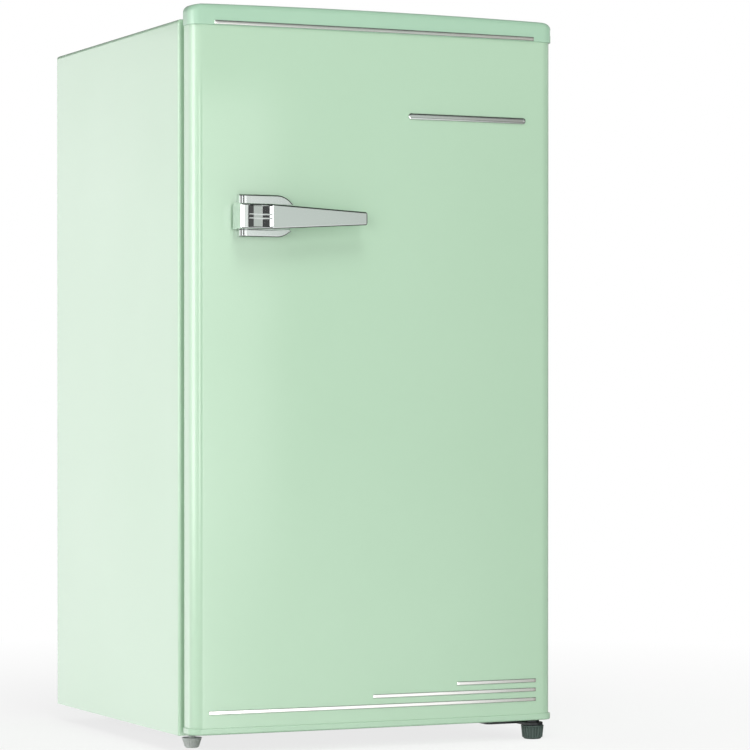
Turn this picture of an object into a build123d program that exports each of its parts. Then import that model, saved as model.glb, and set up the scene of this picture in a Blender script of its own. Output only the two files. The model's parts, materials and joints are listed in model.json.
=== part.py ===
# A small upright fridge in the style of the 1950s: folded steel cabinet, one thick door, latch handle.
# Millimetres, z up from the floor. While a piece is drawn, y = 0 is the cabinet's front plane and +y runs
# to the rear. At the end every piece is moved so that the middle of the whole object is at x = y = 0.
import os
from math import atan2, cos, degrees, pi, radians, sin, sqrt

from build123d import *

# Cabinet of folded sheet
cabinet_width = 450.0
cabinet_depth = 418.0
cabinet_bottom = 19.3
cabinet_top = 814.4
sheet = 1.0
wrap_bend = 4.0
front_return = 22.8
rear_return = 12.0
rear_recess = 24.0
rail_foot = 12.0
fit_gap = 0.3
slide_gap = 0.4
running_gap = 0.05

# Cold space inside the liner, and the hump that covers the compressor
liner_wall = 1.5
liner_flange = 14.7
cavity_half = 187.0
cavity_floor = 57.0
cavity_roof = 776.0
cavity_back = 374.0
cavity_round = 12.0
hump_front = 214.0
hump_top = 216.0
shelf_rib_reach = 7.0
shelf_rib_height = 8.0
shelf_rib_front = 130.0
shelf_rib_back = 350.0
runner_reach = 13.0
runner_height = 10.0
runner_front = 118.0

# Shelves of glass with a moulded trim at front and rear
shelf_half = 183.5
shelf_front = 112.0
shelf_back = 364.0
glass = 4.0
shelf_upper_z = 540.0
shelf_lower_z = 424.0
crisper_cover_z = 308.0
trim_lip = 3.0
trim_wall = 2.5
front_trim_depth = 15.0
rear_trim_depth = 11.0
rear_trim_upstand = 10.0

# Freezer box, its frame, its flap and the tray under it
freezer_half = 172.0
freezer_front = 132.0
freezer_back = 366.0
freezer_bottom = 668.0
freezer_top = 768.0
freezer_wall = 2.0
freezer_round = 8.0
hanger_x = 130.0
hanger_radius = 7.0
frame_depth = 10.0
frame_margin = 7.0
frame_bar = 6.0
flap_y = 115.0
flap_pivot_z = 760.0
flap_thickness = 6.0
flap_pin = 2.5
flap_ear = 9.0
flap_pull_half = 45.0
flap_pull_reach = 7.0
tray_half = 160.0
tray_front = 124.0
tray_back = 352.0
tray_depth = 17.4
tray_wall = 2.0
tray_flange = 3.6
tray_rail_drop = 12.0
tray_rail_back = 350.0

# Crisper drawer on the hump
drawer_half = 173.0
drawer_front = 118.0
drawer_back = 350.0
drawer_wall = 2.5
drawer_round = 10.0
drawer_headroom = 8.0
drawer_lip = 10.0
drawer_lip_half = 90.0

# Thermostat, lamp and switch in one housing on the right wall
housing_left = 150.0
housing_front = 30.0
housing_back = 140.0
housing_bottom = 565.0
housing_top = 635.0
housing_wall = 2.0
dial_y = 62.0
dial_z = 602.0
dial_radius = 15.0
dial_height = 11.0
dial_grip_half = 4.0
shaft_radius = 3.0
window_front = 88.0
window_back = 130.0
window_margin = 12.0
window_rim = 3.0
switch_x = 165.0
switch_z = 580.0

# Compressor space at the rear
bulkhead_front = 249.0
bulkhead_top = 181.0
compressor_x = 60.0
compressor_y = 335.0
compressor_radius = 60.0
compressor_top = 148.0
compressor_lift = 13.0
mount_x = 82.0
mount_y = 42.0
grommet_height = 10.0
grommet_radius = 11.0
bolt_radius = 3.0
tray_height = 18.0
drain_y = 362.0
drain_radius = 7.0
drain_bore = 5.0
drain_end = 158.0
gland_x = 150.0
gland_height = 15.0
gland_radius = 7.0
gland_bore = 4.0
crossbar_height = 28.0

# Condenser and pipes behind the rear panel
tube_radius = 2.4
tube_plane = 405.0
run_count = 11
run_pitch = 54.0
run_bottom = 230.0
run_half = 176.0
riser_x = 198.0
wire_radius = 0.8
wire_pitch = 11.0
wire_count = 27
drier_radius = 8.0
drier_bottom = 88.0
drier_top = 148.0

# Feet
foot_left_x = -190.0
foot_left_y = 50.0
foot_left_radii = (7.9, 11.2)
foot_left_height = 11.5
foot_left_stud = 4.0
foot_right_radii = (11.4, 13.1)
foot_right_stud = 2.5
foot_boss = 5.0
foot_boss_drop = 11.0
rib_depth = 0.8
rear_foot_x = 140.0
rear_foot_y = 386.0
rear_foot_radius = 13.0

# Door
overall_height = 830.0
door_half = 223.0
door_front = -41.0
door_bow_radius = 7300.0
door_back = -10.4
door_corner = 14.0
door_back_round = 4.5
skin_return = 14.0
skin_bottom = 30.0
skin_top = 805.0
cap_grow = 2.0
cap_proud = 1.0
cap_back = -7.0
cap_back_round = 9.0
cap_wall = 2.5
cap_lip_height = 6.0
cap_bottom = 22.5
cap_crown = 2.0
cap_round = 6.0

# Raised rim and racks on the door's inner panel
dike_back = 18.0
dike_half = 172.0
dike_width = 22.0
dike_bottom = 72.0
dike_top = 762.0
dike_floor = -4.0
rack_back = 88.0
rack_wall = 2.5
rack_round = 12.0
rack_upper_z = 430.0
rack_upper_height = 70.0
rack_lower_z = 100.0
rack_lower_height = 95.0
gasket_width = 14.0
gasket_inset = 1.5

# Bright trim on the door; the badge is a plain bar
trim_proud = 1.0
strip_half = 197.5
strip_height = 4.5
stripe_height = 4.2
stripe_right = 201.0
stripe_starts = ((-204.0, 47.0), (-6.7, 58.2), (98.7, 68.7))
badge_x = 112.0
badge_z = 713.0
badge_length = 150.0
badge_height = 7.0

# Hinge line at the right of the door; the right foot is on the same line
hinge_x = 204.0
hinge_y = -24.0
hinge_pin = 4.0
hinge_plate = 3.0
bush_radius = 7.0
boss_radius = 10.0
screw_radius = 2.0
screw_head = 4.5
upper_screws = ((146.0, 20.0), (146.0, 40.0), (176.0, 40.0))
lower_screws = ((168.0, 26.0), (168.0, 52.0), (200.0, 52.0))

# Latch handle
handle_z = 594.0
lever_reach = 67.0
lever_left = -177.0
lever_tip = -23.5
lever_half_height = 14.0
lever_tip_half = 7.0
lever_blade = 9.0
scoop_left = -168.7
scoop_right = -138.5
scoop_depth = 6.0
handle_pin_x = -163.0
handle_pin_y = -45.5
handle_pin = 2.5
knuckle_radius = 3.2
base_left = -171.0
base_arch_x = -127.0
base_z = 595.5
base_half_height = 23.5
base_front = -49.5
base_floor = -42.2

half_width = cabinet_width / 2
rear_panel_y = cabinet_depth - rear_recess
base_top = cabinet_bottom + sheet
carrier_top = cabinet_bottom + 2 * sheet
pot_bottom = carrier_top + compressor_lift
crossbar_back = cabinet_depth - sheet
crossbar_front = crossbar_back - 2 * sheet
gland_z = cabinet_bottom + gland_height
upper_plate_top = cabinet_top + hinge_plate
lower_plate_bottom = cabinet_bottom - hinge_plate
boss_bottom = lower_plate_bottom - foot_boss_drop
rack_half = dike_half - dike_width - slide_gap
tray_top = freezer_bottom - 6.6
row_shift = (lever_reach - cabinet_depth) / 2


# Small helpers

def slab(x0, x1, y0, y1, z0, z1):
    middle = Pos((x0 + x1) / 2, (y0 + y1) / 2, (z0 + z1) / 2)
    return middle * Box(x1 - x0, y1 - y0, z1 - z0)


def wide(half, y0, y1, z0, z1):
    return slab(-half, half, y0, y1, z0, z1)


def post(x, y, z0, z1, radius):
    return Pos(x, y, (z0 + z1) / 2) * Cylinder(radius, z1 - z0)


def bar_x(x0, x1, y, z, radius):
    return Pos((x0 + x1) / 2, y, z) * Rot(0, 90, 0) * Cylinder(radius, x1 - x0)


def bar_y(x, y0, y1, z, radius):
    return Pos(x, (y0 + y1) / 2, z) * Rot(90, 0, 0) * Cylinder(radius, y1 - y0)


def both_sides(shape):
    return shape + mirror(shape, Plane.YZ)


def group(shapes):
    return Compound(children=list(shapes))


def round_top_bends(block, radius):
    return fillet(block.edges().filter_by(Axis.Y).group_by(Axis.Z)[-1], radius)


def round_uprights(block, radius):
    return fillet(block.edges().filter_by(Axis.Z), radius)


def open_box(x0, x1, y0, y1, z0, z1, wall, radius):
    # A moulded tray: upright corners round, open at the top
    outer = round_uprights(slab(x0, x1, y0, y1, z0, z1), radius)
    inner = slab(x0 + wall, x1 - wall, y0 + wall, y1 - wall, z0 + wall, z1)
    return outer - round_uprights(inner, radius - wall)


def pipe(points, bend, radius):
    path = FilletPolyline(*points, radius=bend)
    start = Plane(path @ 0, z_dir=path % 0)
    return sweep(start * Circle(radius), path=path)


# Cabinet shell

def make_cabinet_wrap():
    outer = wide(half_width, 0, cabinet_depth, cabinet_bottom, cabinet_top)
    inner = wide(half_width - sheet, sheet, cabinet_depth - sheet, cabinet_bottom, cabinet_top - sheet)
    mouth = wide(half_width - front_return, 0, sheet, cabinet_bottom, cabinet_top - front_return)
    rear = wide(half_width - rear_return, cabinet_depth - sheet, cabinet_depth, cabinet_bottom,
                cabinet_top - rear_return)
    shell = round_top_bends(outer, wrap_bend) - round_top_bends(inner, wrap_bend - sheet)
    return shell - mouth - rear - upper_screw_shanks()


def make_front_rail():
    half = half_width - front_return - fit_gap
    face = wide(half, 0, sheet, cabinet_bottom, cavity_floor - liner_flange - fit_gap)
    return face + wide(half, 0, rail_foot, cabinet_bottom, base_top)


def make_base_pan():
    nut_top = base_top + 8
    pan = wide(half_width - sheet, rail_foot + fit_gap, bulkhead_front, cabinet_bottom, base_top)
    nut = post(foot_left_x, foot_left_y, base_top, nut_top, 2 * foot_left_stud)
    hole = post(foot_left_x, foot_left_y, cabinet_bottom, nut_top, foot_left_stud + running_gap)
    return pan + nut - hole - lower_screw_shanks()


def make_bulkhead():
    half = half_width - sheet
    wall = wide(half, bulkhead_front, bulkhead_front + sheet, base_top, bulkhead_top)
    roof = wide(half, bulkhead_front, rear_panel_y - sheet, bulkhead_top - sheet, bulkhead_top)
    return wall + roof - post(compressor_x, drain_y, bulkhead_top - sheet, bulkhead_top, drain_radius)


def make_rear_panel():
    panel = wide(half_width - sheet, rear_panel_y - sheet, rear_panel_y, bulkhead_top - sheet,
                 cabinet_top - sheet)
    return round_top_bends(panel, wrap_bend - sheet) - make_suction_line() - make_capillary_tube()


def cold_space(wall):
    # The cold space as a solid, grown by a wall; the hump stays out of it
    space = wide(cavity_half + wall, 0, cavity_back + wall, cavity_floor - wall, cavity_roof + wall)
    space -= wide(cavity_half + wall, hump_front + wall, cavity_back + wall, cavity_floor - wall, hump_top - wall)
    return fillet([edge for edge in space.edges() if edge.center().Y > 1], cavity_round + wall)


def make_inner_liner():
    flange = wide(cavity_half + liner_flange, 0, liner_wall, cavity_floor - liner_flange,
                  cavity_roof + liner_flange)
    liner = cold_space(liner_wall) + flange - cold_space(0)
    wall_x = cavity_half + liner_wall / 2
    for z in (shelf_upper_z, shelf_lower_z, crisper_cover_z):
        rib = slab(cavity_half - shelf_rib_reach, wall_x, shelf_rib_front, shelf_rib_back, z - shelf_rib_height, z)
        liner += both_sides(rib)
    runner = slab(cavity_half - runner_reach, wall_x, runner_front, hump_front - cavity_round,
                  hump_top - runner_height, hump_top)
    drain = post(compressor_x, drain_y, hump_top - 2 * liner_wall, hump_top + liner_wall, drain_bore)
    return liner + both_sides(runner) - drain


def make_cabinet_foam():
    # One pour of foam round the liner, drawn as the straight blocks that it fills
    stud_room = 22
    outside = half_width - sheet
    inside = cavity_half + liner_wall
    rear = rear_panel_y - sheet
    top = cabinet_top - sheet
    roof = cavity_roof + liner_wall
    step = hump_top - liner_wall
    floor = cavity_floor - liner_wall
    sides = []
    for y0, y1, low in ((liner_wall, bulkhead_front, base_top), (bulkhead_front, rear, bulkhead_top)):
        side = slab(inside, outside, y0, y1, low, top)
        bend = side.edges().filter_by(Axis.Y).group_by(Axis.Z)[-1].sort_by(Axis.X)[-1]
        side = fillet(bend, wrap_bend - sheet)
        sides += [side, mirror(side, Plane.YZ)]
    hump = wide(inside, hump_front + liner_wall, bulkhead_front, floor, step)
    nose = hump.edges().filter_by(Axis.X).group_by(Axis.Z)[-1].sort_by(Axis.Y)[0]
    blocks = sides + [
        fillet(nose, cavity_round + liner_wall),
        wide(inside, liner_wall, rear, roof, top),
        wide(inside, cavity_back + liner_wall, rear, step, roof),
        wide(inside, bulkhead_front, rear, bulkhead_top, step),
        wide(inside, liner_wall, bulkhead_front, base_top, floor),
    ]
    tools = [make_suction_line(), make_capillary_tube()] + upper_screw_shanks() + lower_screw_shanks()
    tools.append(post(compressor_x, drain_y, bulkhead_top, hump_top, drain_radius))
    tools.append(post(foot_left_x, foot_left_y, cabinet_bottom, cabinet_bottom + stud_room, 2 * foot_left_stud))
    return group([block - tools for block in blocks])


# Shelves and freezer

def make_shelf(z):
    return wide(shelf_half, shelf_front + trim_lip, shelf_back - trim_lip, z, z + glass)


def make_shelf_trims():
    trims = []
    for z in (shelf_upper_z, shelf_lower_z, crisper_cover_z):
        low = z - trim_wall
        front = wide(shelf_half, shelf_front, shelf_front + front_trim_depth, low, z + glass + trim_wall)
        front = fillet(front.edges().filter_by(Axis.X).group_by(Axis.Y)[0], trim_lip)
        rear = wide(shelf_half, shelf_back - rear_trim_depth, shelf_back, low, z + glass + rear_trim_upstand)
        trims += [front - make_shelf(z), rear - make_shelf(z)]
    return group(trims)


def make_evaporator_box():
    inset = freezer_wall
    outer = wide(freezer_half, freezer_front, freezer_back, freezer_bottom, freezer_top)
    inner = wide(freezer_half - inset, freezer_front, freezer_back - inset, freezer_bottom + inset,
                 freezer_top - inset)
    box = fillet(outer.edges().filter_by(Axis.Y), freezer_round)
    box -= fillet(inner.edges().filter_by(Axis.Y), freezer_round - inset)
    for y in (freezer_front + 38, freezer_back - 36):
        box += both_sides(post(hanger_x, y, freezer_top - inset / 2, cavity_roof, hanger_radius))
    return box


def make_freezer_frame():
    y0 = freezer_front - frame_depth
    edge_x = freezer_half + frame_margin
    plate = wide(edge_x, y0, freezer_front, freezer_bottom - 4, freezer_top + 5)
    mouth = wide(freezer_half - frame_margin, y0, freezer_front, freezer_bottom + frame_bar,
                 freezer_top - frame_bar)
    ear = slab(edge_x - 3.5, edge_x, flap_y - frame_margin, freezer_front, flap_pivot_z - flap_ear,
               flap_pivot_z + flap_ear)
    ear -= bar_x(freezer_half, edge_x, flap_y, flap_pivot_z, flap_pin + running_gap)
    return plate - mouth + both_sides(ear) + both_sides(make_tray_rail())


def make_tray_rail():
    # An angle under the freezer box that carries one edge of the drip tray
    x = tray_half + tray_flange + slide_gap
    low = freezer_bottom - tray_rail_drop
    y0 = freezer_front - frame_depth + tray_wall
    web = slab(x, x + tray_wall, y0, tray_rail_back, low, freezer_bottom)
    return web + slab(tray_half + fit_gap, x + tray_wall, y0, tray_rail_back, low, low + 3)


def make_freezer_flap():
    y0 = flap_y - flap_thickness / 2
    low = freezer_bottom + 2
    flap = wide(freezer_half + 2.5, y0, y0 + flap_thickness, low, flap_pivot_z + 5)
    flap = fillet(flap.edges().filter_by(Axis.Y), 4)
    pull = wide(flap_pull_half, y0 - flap_pull_reach, y0, low + 4, low + 12)
    pull = fillet(pull.edges().filter_by(Axis.X).group_by(Axis.Y)[0], 2)
    panel = wide(freezer_half - 20, y0, y0 + 1.5, low + 20, flap_pivot_z - 12)
    pin = bar_x(freezer_half, freezer_half + 6.5, flap_y, flap_pivot_z, flap_pin)
    return flap + pull - panel + both_sides(pin)


def make_drip_tray():
    low = tray_top - tray_depth
    tray = wide(tray_half, tray_front, tray_back, low, tray_top)
    tray += both_sides(slab(tray_half - tray_wall, tray_half + tray_flange, tray_front + 16, tray_back - tray_wall,
                            tray_top - tray_wall, tray_top))
    tray += wide(55, tray_front - 10, tray_front + tray_wall / 2, tray_top - 5, tray_top)
    return tray - wide(tray_half - tray_wall, tray_front + tray_wall, tray_back - tray_wall, low + tray_wall,
                       tray_top)


def make_crisper_drawer():
    floor = hump_top + slide_gap
    top = crisper_cover_z - drawer_headroom
    body = open_box(-drawer_half, drawer_half, drawer_front, drawer_back, floor, top, drawer_wall, drawer_round)
    lip = wide(drawer_lip_half, drawer_front - drawer_lip, drawer_front + 1, top - 5, top)
    runner = slab(drawer_half - 1, drawer_half + 5, drawer_front + 12, drawer_back - 20, floor, floor + 3)
    return body + lip + both_sides(runner)


# Thermostat, lamp and switch

def housing_window(x0, x1, rim):
    margin = window_margin - rim
    return slab(x0, x1, window_front - rim, window_back + rim, housing_bottom + margin, housing_top - margin)


def make_thermostat_housing():
    wall = housing_wall
    box = slab(housing_left, cavity_half, housing_front, housing_back, housing_bottom, housing_top)
    box = fillet(box.edges().filter_by(Axis.Z).group_by(Axis.X)[0], 6)
    hollow = slab(housing_left + wall, cavity_half, housing_front + wall, housing_back - wall,
                  housing_bottom + wall, housing_top - wall)
    shaft = bar_x(housing_left, housing_left + wall, dial_y, dial_z, shaft_radius + running_gap)
    stem = bar_y(switch_x, housing_front, housing_front + wall, switch_z, shaft_radius + running_gap)
    return box - hollow - housing_window(housing_left, housing_left + wall, 0) - shaft - stem


def make_lamp_cover():
    pane = housing_window(housing_left - 1.5, housing_left, window_rim)
    return pane + housing_window(housing_left, housing_left + housing_wall, 0)


def make_lamp_bulb():
    y = (window_front + window_back) / 2
    z = (housing_bottom + housing_top) / 2
    bulb = bar_x(cavity_half - 28, cavity_half - 8, y, z, 7)
    bulb = fillet(bulb.edges().group_by(Axis.X)[0], 6.5)
    return bulb + bar_x(cavity_half - 8, cavity_half, y, z, 9)


def make_thermostat_body():
    body = slab(housing_left + housing_wall, cavity_half, dial_y - 14, dial_y + 14, dial_z - 16, dial_z + 18)
    return body - bar_x(housing_left, housing_left + 12, dial_y, dial_z, shaft_radius + running_gap)


def make_thermostat_dial():
    # A round knob cut down to a grip bar, on its shaft
    face = housing_left - slide_gap
    knob = bar_x(face - dial_height, face, dial_y, dial_z, dial_radius)
    knob = fillet(knob.edges().group_by(Axis.X)[0], 2)
    for y0, y1 in ((dial_y - dial_radius, dial_y - dial_grip_half), (dial_y + dial_grip_half, dial_y + dial_radius)):
        knob -= slab(face - dial_height, face - 4, y0, y1, dial_z - dial_radius, dial_z + dial_radius)
    return knob + bar_x(face, housing_left + 9, dial_y, dial_z, shaft_radius)


def make_lamp_switch_button():
    stem = bar_y(switch_x, dike_back + slide_gap, housing_front + 14, switch_z, shaft_radius)
    return stem + bar_y(switch_x, housing_front + 9, housing_front + 12, switch_z, shaft_radius + 2)


# Compressor space

def make_compressor_base():
    return wide(half_width - sheet, bulkhead_front + sheet, crossbar_front, cabinet_bottom, carrier_top)


def make_rear_crossbar():
    bar = wide(half_width - rear_return, crossbar_front, crossbar_back, cabinet_bottom,
               cabinet_bottom + crossbar_height)
    return bar - bar_y(gland_x, crossbar_front, crossbar_back, gland_z, gland_radius)


def make_cord_gland():
    flange_front = crossbar_front - 7
    flange = bar_y(gland_x, flange_front, crossbar_front, gland_z, gland_radius + 3)
    ring = flange + bar_y(gland_x, crossbar_front, crossbar_back, gland_z, gland_radius)
    return ring - bar_y(gland_x, flange_front, crossbar_back, gland_z, gland_bore)


def mount_places():
    return [(compressor_x + a * mount_x, compressor_y + b * mount_y) for a in (-1, 1) for b in (-1, 1)]


def make_compressor_shell():
    plate_bottom = carrier_top + grommet_height
    pot = post(compressor_x, compressor_y, pot_bottom, compressor_top, compressor_radius)
    pot = fillet(pot.edges().group_by(Axis.Z)[-1], 40)
    pot = fillet(pot.edges().group_by(Axis.Z)[0], 20)
    seam = post(compressor_x, compressor_y, 84, 88, compressor_radius + 3)
    plate = slab(compressor_x - mount_x - 13, compressor_x + mount_x + 13, compressor_y - mount_y - 12,
                 compressor_y + mount_y + 12, plate_bottom, pot_bottom)
    plate = round_uprights(plate, 12)
    for x, y in mount_places():
        plate -= post(x, y, plate_bottom, pot_bottom, bolt_radius)
    return pot + seam + plate


def make_compressor_grommets():
    pads = []
    for x, y in mount_places():
        top = carrier_top + grommet_height
        waist = post(x, y, carrier_top, top, grommet_radius - 2)
        rims = post(x, y, carrier_top, carrier_top + 3, grommet_radius) + post(x, y, top - 3, top, grommet_radius)
        pads.append(waist + rims - post(x, y, carrier_top, top, bolt_radius))
    return group(pads)


def make_compressor_bolts():
    bolts = []
    for x, y in mount_places():
        nut = Pos(x, y, pot_bottom) * extrude(RegularPolygon(2 * bolt_radius, 6), 5)
        bolts.append(post(x, y, carrier_top, pot_bottom + 11, bolt_radius) + nut)
    return group(bolts)


def make_relay_box():
    box = slab(compressor_x - 92, compressor_x - 50, compressor_y - 28, compressor_y + 28, 92, 132)
    box = fillet(box.edges().filter_by(Axis.Z).group_by(Axis.X)[0], 4)
    return box - make_compressor_shell()


def make_evaporation_tray():
    return open_box(compressor_x - 80, compressor_x + 80, compressor_y - 50, compressor_y + 50, compressor_top,
                    compressor_top + tray_height, 2, 10)


def make_drain_tube():
    top = hump_top - liner_wall
    return post(compressor_x, drain_y, drain_end, top, drain_radius) - post(compressor_x, drain_y, drain_end, top,
                                                                            drain_bore)


# Condenser and pipes

def condenser_corners():
    # From the compressor to the riser, up, down the runs from side to side, and to the drier
    outlet_y = compressor_y + 10
    corners = [(compressor_x + 56, outlet_y, 112), (riser_x, outlet_y, 112), (riser_x, tube_plane, 112)]
    side = 1
    for i in range(run_count):
        z = run_bottom + run_pitch * (run_count - 1 - i)
        start_x = riser_x if i == 0 else side * run_half
        end_x = -riser_x if i == run_count - 1 else -side * run_half
        corners += [(start_x, tube_plane, z), (end_x, tube_plane, z)]
        side = -side
    return corners + [(-riser_x, tube_plane, drier_top)]


def make_condenser_tube():
    return pipe(condenser_corners(), run_pitch / 2 - 1, tube_radius) - make_compressor_shell()


def make_condenser_wires():
    wires = []
    low = run_bottom - 8
    high = run_bottom + run_pitch * (run_count - 1) + 8
    offset = tube_radius + wire_radius + running_gap
    for y in (tube_plane - offset, tube_plane + offset):
        for i in range(wire_count):
            wires.append(post((i - (wire_count - 1) / 2) * wire_pitch, y, low, high, wire_radius))
    return group(wires)


def make_condenser_clips():
    clips = []
    x = 10.5 * wire_pitch
    for run in (1, run_count - 2):
        z = run_bottom + run_pitch * run
        for middle in (-x, x):
            block = slab(middle - 4, middle + 4, rear_panel_y, tube_plane, z - 6, z + 6)
            clips.append(block - bar_x(middle - 4, middle + 4, tube_plane, z, tube_radius))
    return group(clips)


def make_filter_drier():
    body = post(-riser_x, tube_plane, drier_bottom + 4, drier_top - 4, drier_radius)
    neck = post(-riser_x, tube_plane, drier_top - 5, drier_top, 4)
    return fillet(body.edges(), 5) + neck + post(-riser_x, tube_plane, drier_bottom, drier_bottom + 5, 3)


def make_capillary_tube():
    corners = [(-riser_x, tube_plane, drier_bottom), (-riser_x, tube_plane, 60), (-150, tube_plane, 60),
               (-150, tube_plane, 196), (-150, rear_panel_y - 8, 196)]
    return pipe(corners, 7, 1.3)


def make_suction_line():
    inlet_y = compressor_y + 21
    corners = [(compressor_x - 54, inlet_y, 80), (-70, inlet_y, 80), (-70, tube_plane, 80), (-70, tube_plane, 202),
               (-70, rear_panel_y - 8, 202)]
    return pipe(corners, 9, 3) - make_compressor_shell()


# Feet

def ribbed_knob(radii, height, ribs):
    # A tapered knob with upright ribs all round
    rings = []
    for radius, z in zip(radii, (0, height)):
        points = []
        for i in range(ribs * 2):
            turn = pi * i / ribs
            reach = radius - rib_depth * (i % 2)
            points.append((reach * cos(turn), reach * sin(turn)))
        rings.append(Pos(0, 0, z) * make_face(Polyline(*points, close=True)))
    return loft(rings, ruled=True)


def make_foot_left():
    knob = ribbed_knob(foot_left_radii, foot_left_height, 20)
    stud = post(0, 0, foot_left_height - 1, cabinet_bottom + 14, foot_left_stud)
    return Pos(foot_left_x, foot_left_y, 0) * (knob + stud)


def make_foot_right():
    # A cup round the hinge bracket's threaded boss, with its stud in the middle
    height = lower_plate_bottom - slide_gap
    cup_floor = boss_bottom - 2 * slide_gap
    knob = ribbed_knob(foot_right_radii, height, 24) - post(0, 0, cup_floor, height, foot_boss + slide_gap)
    return Pos(hinge_x, hinge_y, 0) * (knob + post(0, 0, cup_floor - 1, cap_bottom - slide_gap, foot_right_stud))


def make_rear_feet():
    foot = post(rear_foot_x, rear_foot_y, 0, cabinet_bottom, rear_foot_radius)
    foot = chamfer(foot.edges().group_by(Axis.Z)[0], 2)
    return group([foot, mirror(foot, Plane.YZ)])


# Hinges

def upper_screw_shanks():
    return [post(x, y, cabinet_top - 10, upper_plate_top, screw_radius) for x, y in upper_screws]


def lower_screw_shanks():
    return [post(x, y, lower_plate_bottom, cabinet_bottom + 10, screw_radius) for x, y in lower_screws]


def make_hinge_screws():
    screws = []
    for (x, y), shank in zip(upper_screws, upper_screw_shanks()):
        head = post(x, y, upper_plate_top, upper_plate_top + 2.5, screw_head)
        screws.append(fillet(head.edges().group_by(Axis.Z)[-1], 1.5) + shank)
    for (x, y), shank in zip(lower_screws, lower_screw_shanks()):
        head = post(x, y, lower_plate_bottom - 2.5, lower_plate_bottom, screw_head)
        screws.append(fillet(head.edges().group_by(Axis.Z)[0], 1.5) + shank)
    return group(screws)


def make_upper_hinge_bracket():
    # The neck runs inwards from the pin, so that the door's cap can turn past it
    neck = make_hull([Pos(hinge_x, hinge_y) * Circle(9).edge(), Pos(165, 15) * Circle(9).edge()])
    plate = Pos(160, 30) * RectangleRounded(50, 40, 5)
    bracket = Pos(0, 0, cabinet_top) * extrude(neck + plate, hinge_plate)
    return bracket - post(hinge_x, hinge_y, cabinet_top, upper_plate_top, hinge_pin) - upper_screw_shanks()


def make_lower_hinge_bracket():
    nose = make_hull([Pos(hinge_x, hinge_y) * Circle(12).edge(), Pos(hinge_x, 10) * Circle(12).edge()])
    plate = Pos(185, 28) * RectangleRounded(62, 68, 6)
    bracket = Pos(0, 0, lower_plate_bottom) * extrude(nose + plate, hinge_plate)
    washer_top = cap_bottom - fit_gap
    bracket += post(hinge_x, hinge_y, cabinet_bottom, washer_top, 2 * hinge_pin)
    bracket += post(hinge_x, hinge_y, boss_bottom, lower_plate_bottom, foot_boss)
    bracket -= post(hinge_x, hinge_y, lower_plate_bottom, washer_top, hinge_pin)
    bracket -= post(hinge_x, hinge_y, boss_bottom, lower_plate_bottom, foot_right_stud + running_gap)
    return bracket - lower_screw_shanks()


def make_hinge_pins():
    # The lower end of the lower pin is hollow and takes the right foot's stud
    upper = post(hinge_x, hinge_y, skin_top - 5, upper_plate_top, hinge_pin)
    upper += post(hinge_x, hinge_y, upper_plate_top, upper_plate_top + 1.5, hinge_pin + 2)
    lower = post(hinge_x, hinge_y, lower_plate_bottom, cap_bottom + 14, hinge_pin)
    bore = post(hinge_x, hinge_y, lower_plate_bottom, cap_bottom + 1, foot_right_stud + running_gap)
    return group([upper, lower - bore])


def make_hinge_cover():
    cover = slab(130, 194, 4, 56, cabinet_top, cabinet_top + 10)
    cover = fillet(cover.edges().group_by(Axis.Z)[-1] + cover.edges().filter_by(Axis.Z), 4)
    hollow = slab(132.5, 191.5, 6.5, 53.5, cabinet_top, cabinet_top + 7.5)
    return cover - hollow - slab(150, 190, 4, 8, cabinet_top, upper_plate_top + 1)


# Door

def door_outline(grow, front_grow, back, back_round):
    # The door seen from above: slightly bowed front, round front corners, small round rear corners
    half = door_half + grow
    side = half - door_corner
    rear = half - back_round
    bow_centre = door_front - front_grow + door_bow_radius
    drop = sqrt((door_bow_radius - door_corner) ** 2 - side ** 2)
    turn = degrees(atan2(drop, side))
    corner_y = bow_centre - drop
    end_x = side + door_corner * cos(radians(turn))
    end_y = corner_y - door_corner * sin(radians(turn))
    return make_face([
        Line((-rear, back), (rear, back)),
        CenterArc((rear, back - back_round), back_round, 0, 90),
        Line((half, back - back_round), (half, corner_y)),
        CenterArc((side, corner_y), door_corner, -turn, turn),
        ThreePointArc((end_x, end_y), (0, bow_centre - door_bow_radius), (-end_x, end_y)),
        CenterArc((-side, corner_y), door_corner, 180, turn),
        Line((-half, corner_y), (-half, back - back_round)),
        CenterArc((-rear, back - back_round), back_round, 90, 90),
    ])


def door_block(grow, front_grow, back, back_round, z0, z1):
    return Pos(0, 0, z0) * extrude(door_outline(grow, front_grow, back, back_round), z1 - z0)


def door_body(grow, z0, z1):
    return door_block(grow, grow, door_back + grow, door_back_round + grow, z0, z1)


def cap_body(inset, z0, z1):
    return door_block(cap_grow - inset, cap_proud - inset, cap_back - inset, cap_back_round - inset, z0, z1)


def cap_lip(z0, z1):
    # The part of a cap that goes inside the skin
    ring = door_body(-sheet - fit_gap, z0, z1) - door_body(-sheet - cap_wall, z0, z1)
    return ring & wide(half_width, door_front, door_back - 2 * sheet, z0, z1)


def bush_hole(z0, z1):
    return post(hinge_x, hinge_y, z0, z1, bush_radius)


def make_door_skin():
    skin = door_body(0, skin_bottom, skin_top) - door_body(-sheet, skin_bottom, skin_top)
    return skin - wide(door_half - skin_return, door_back - 2 * sheet, door_back, skin_bottom, skin_top)


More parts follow.
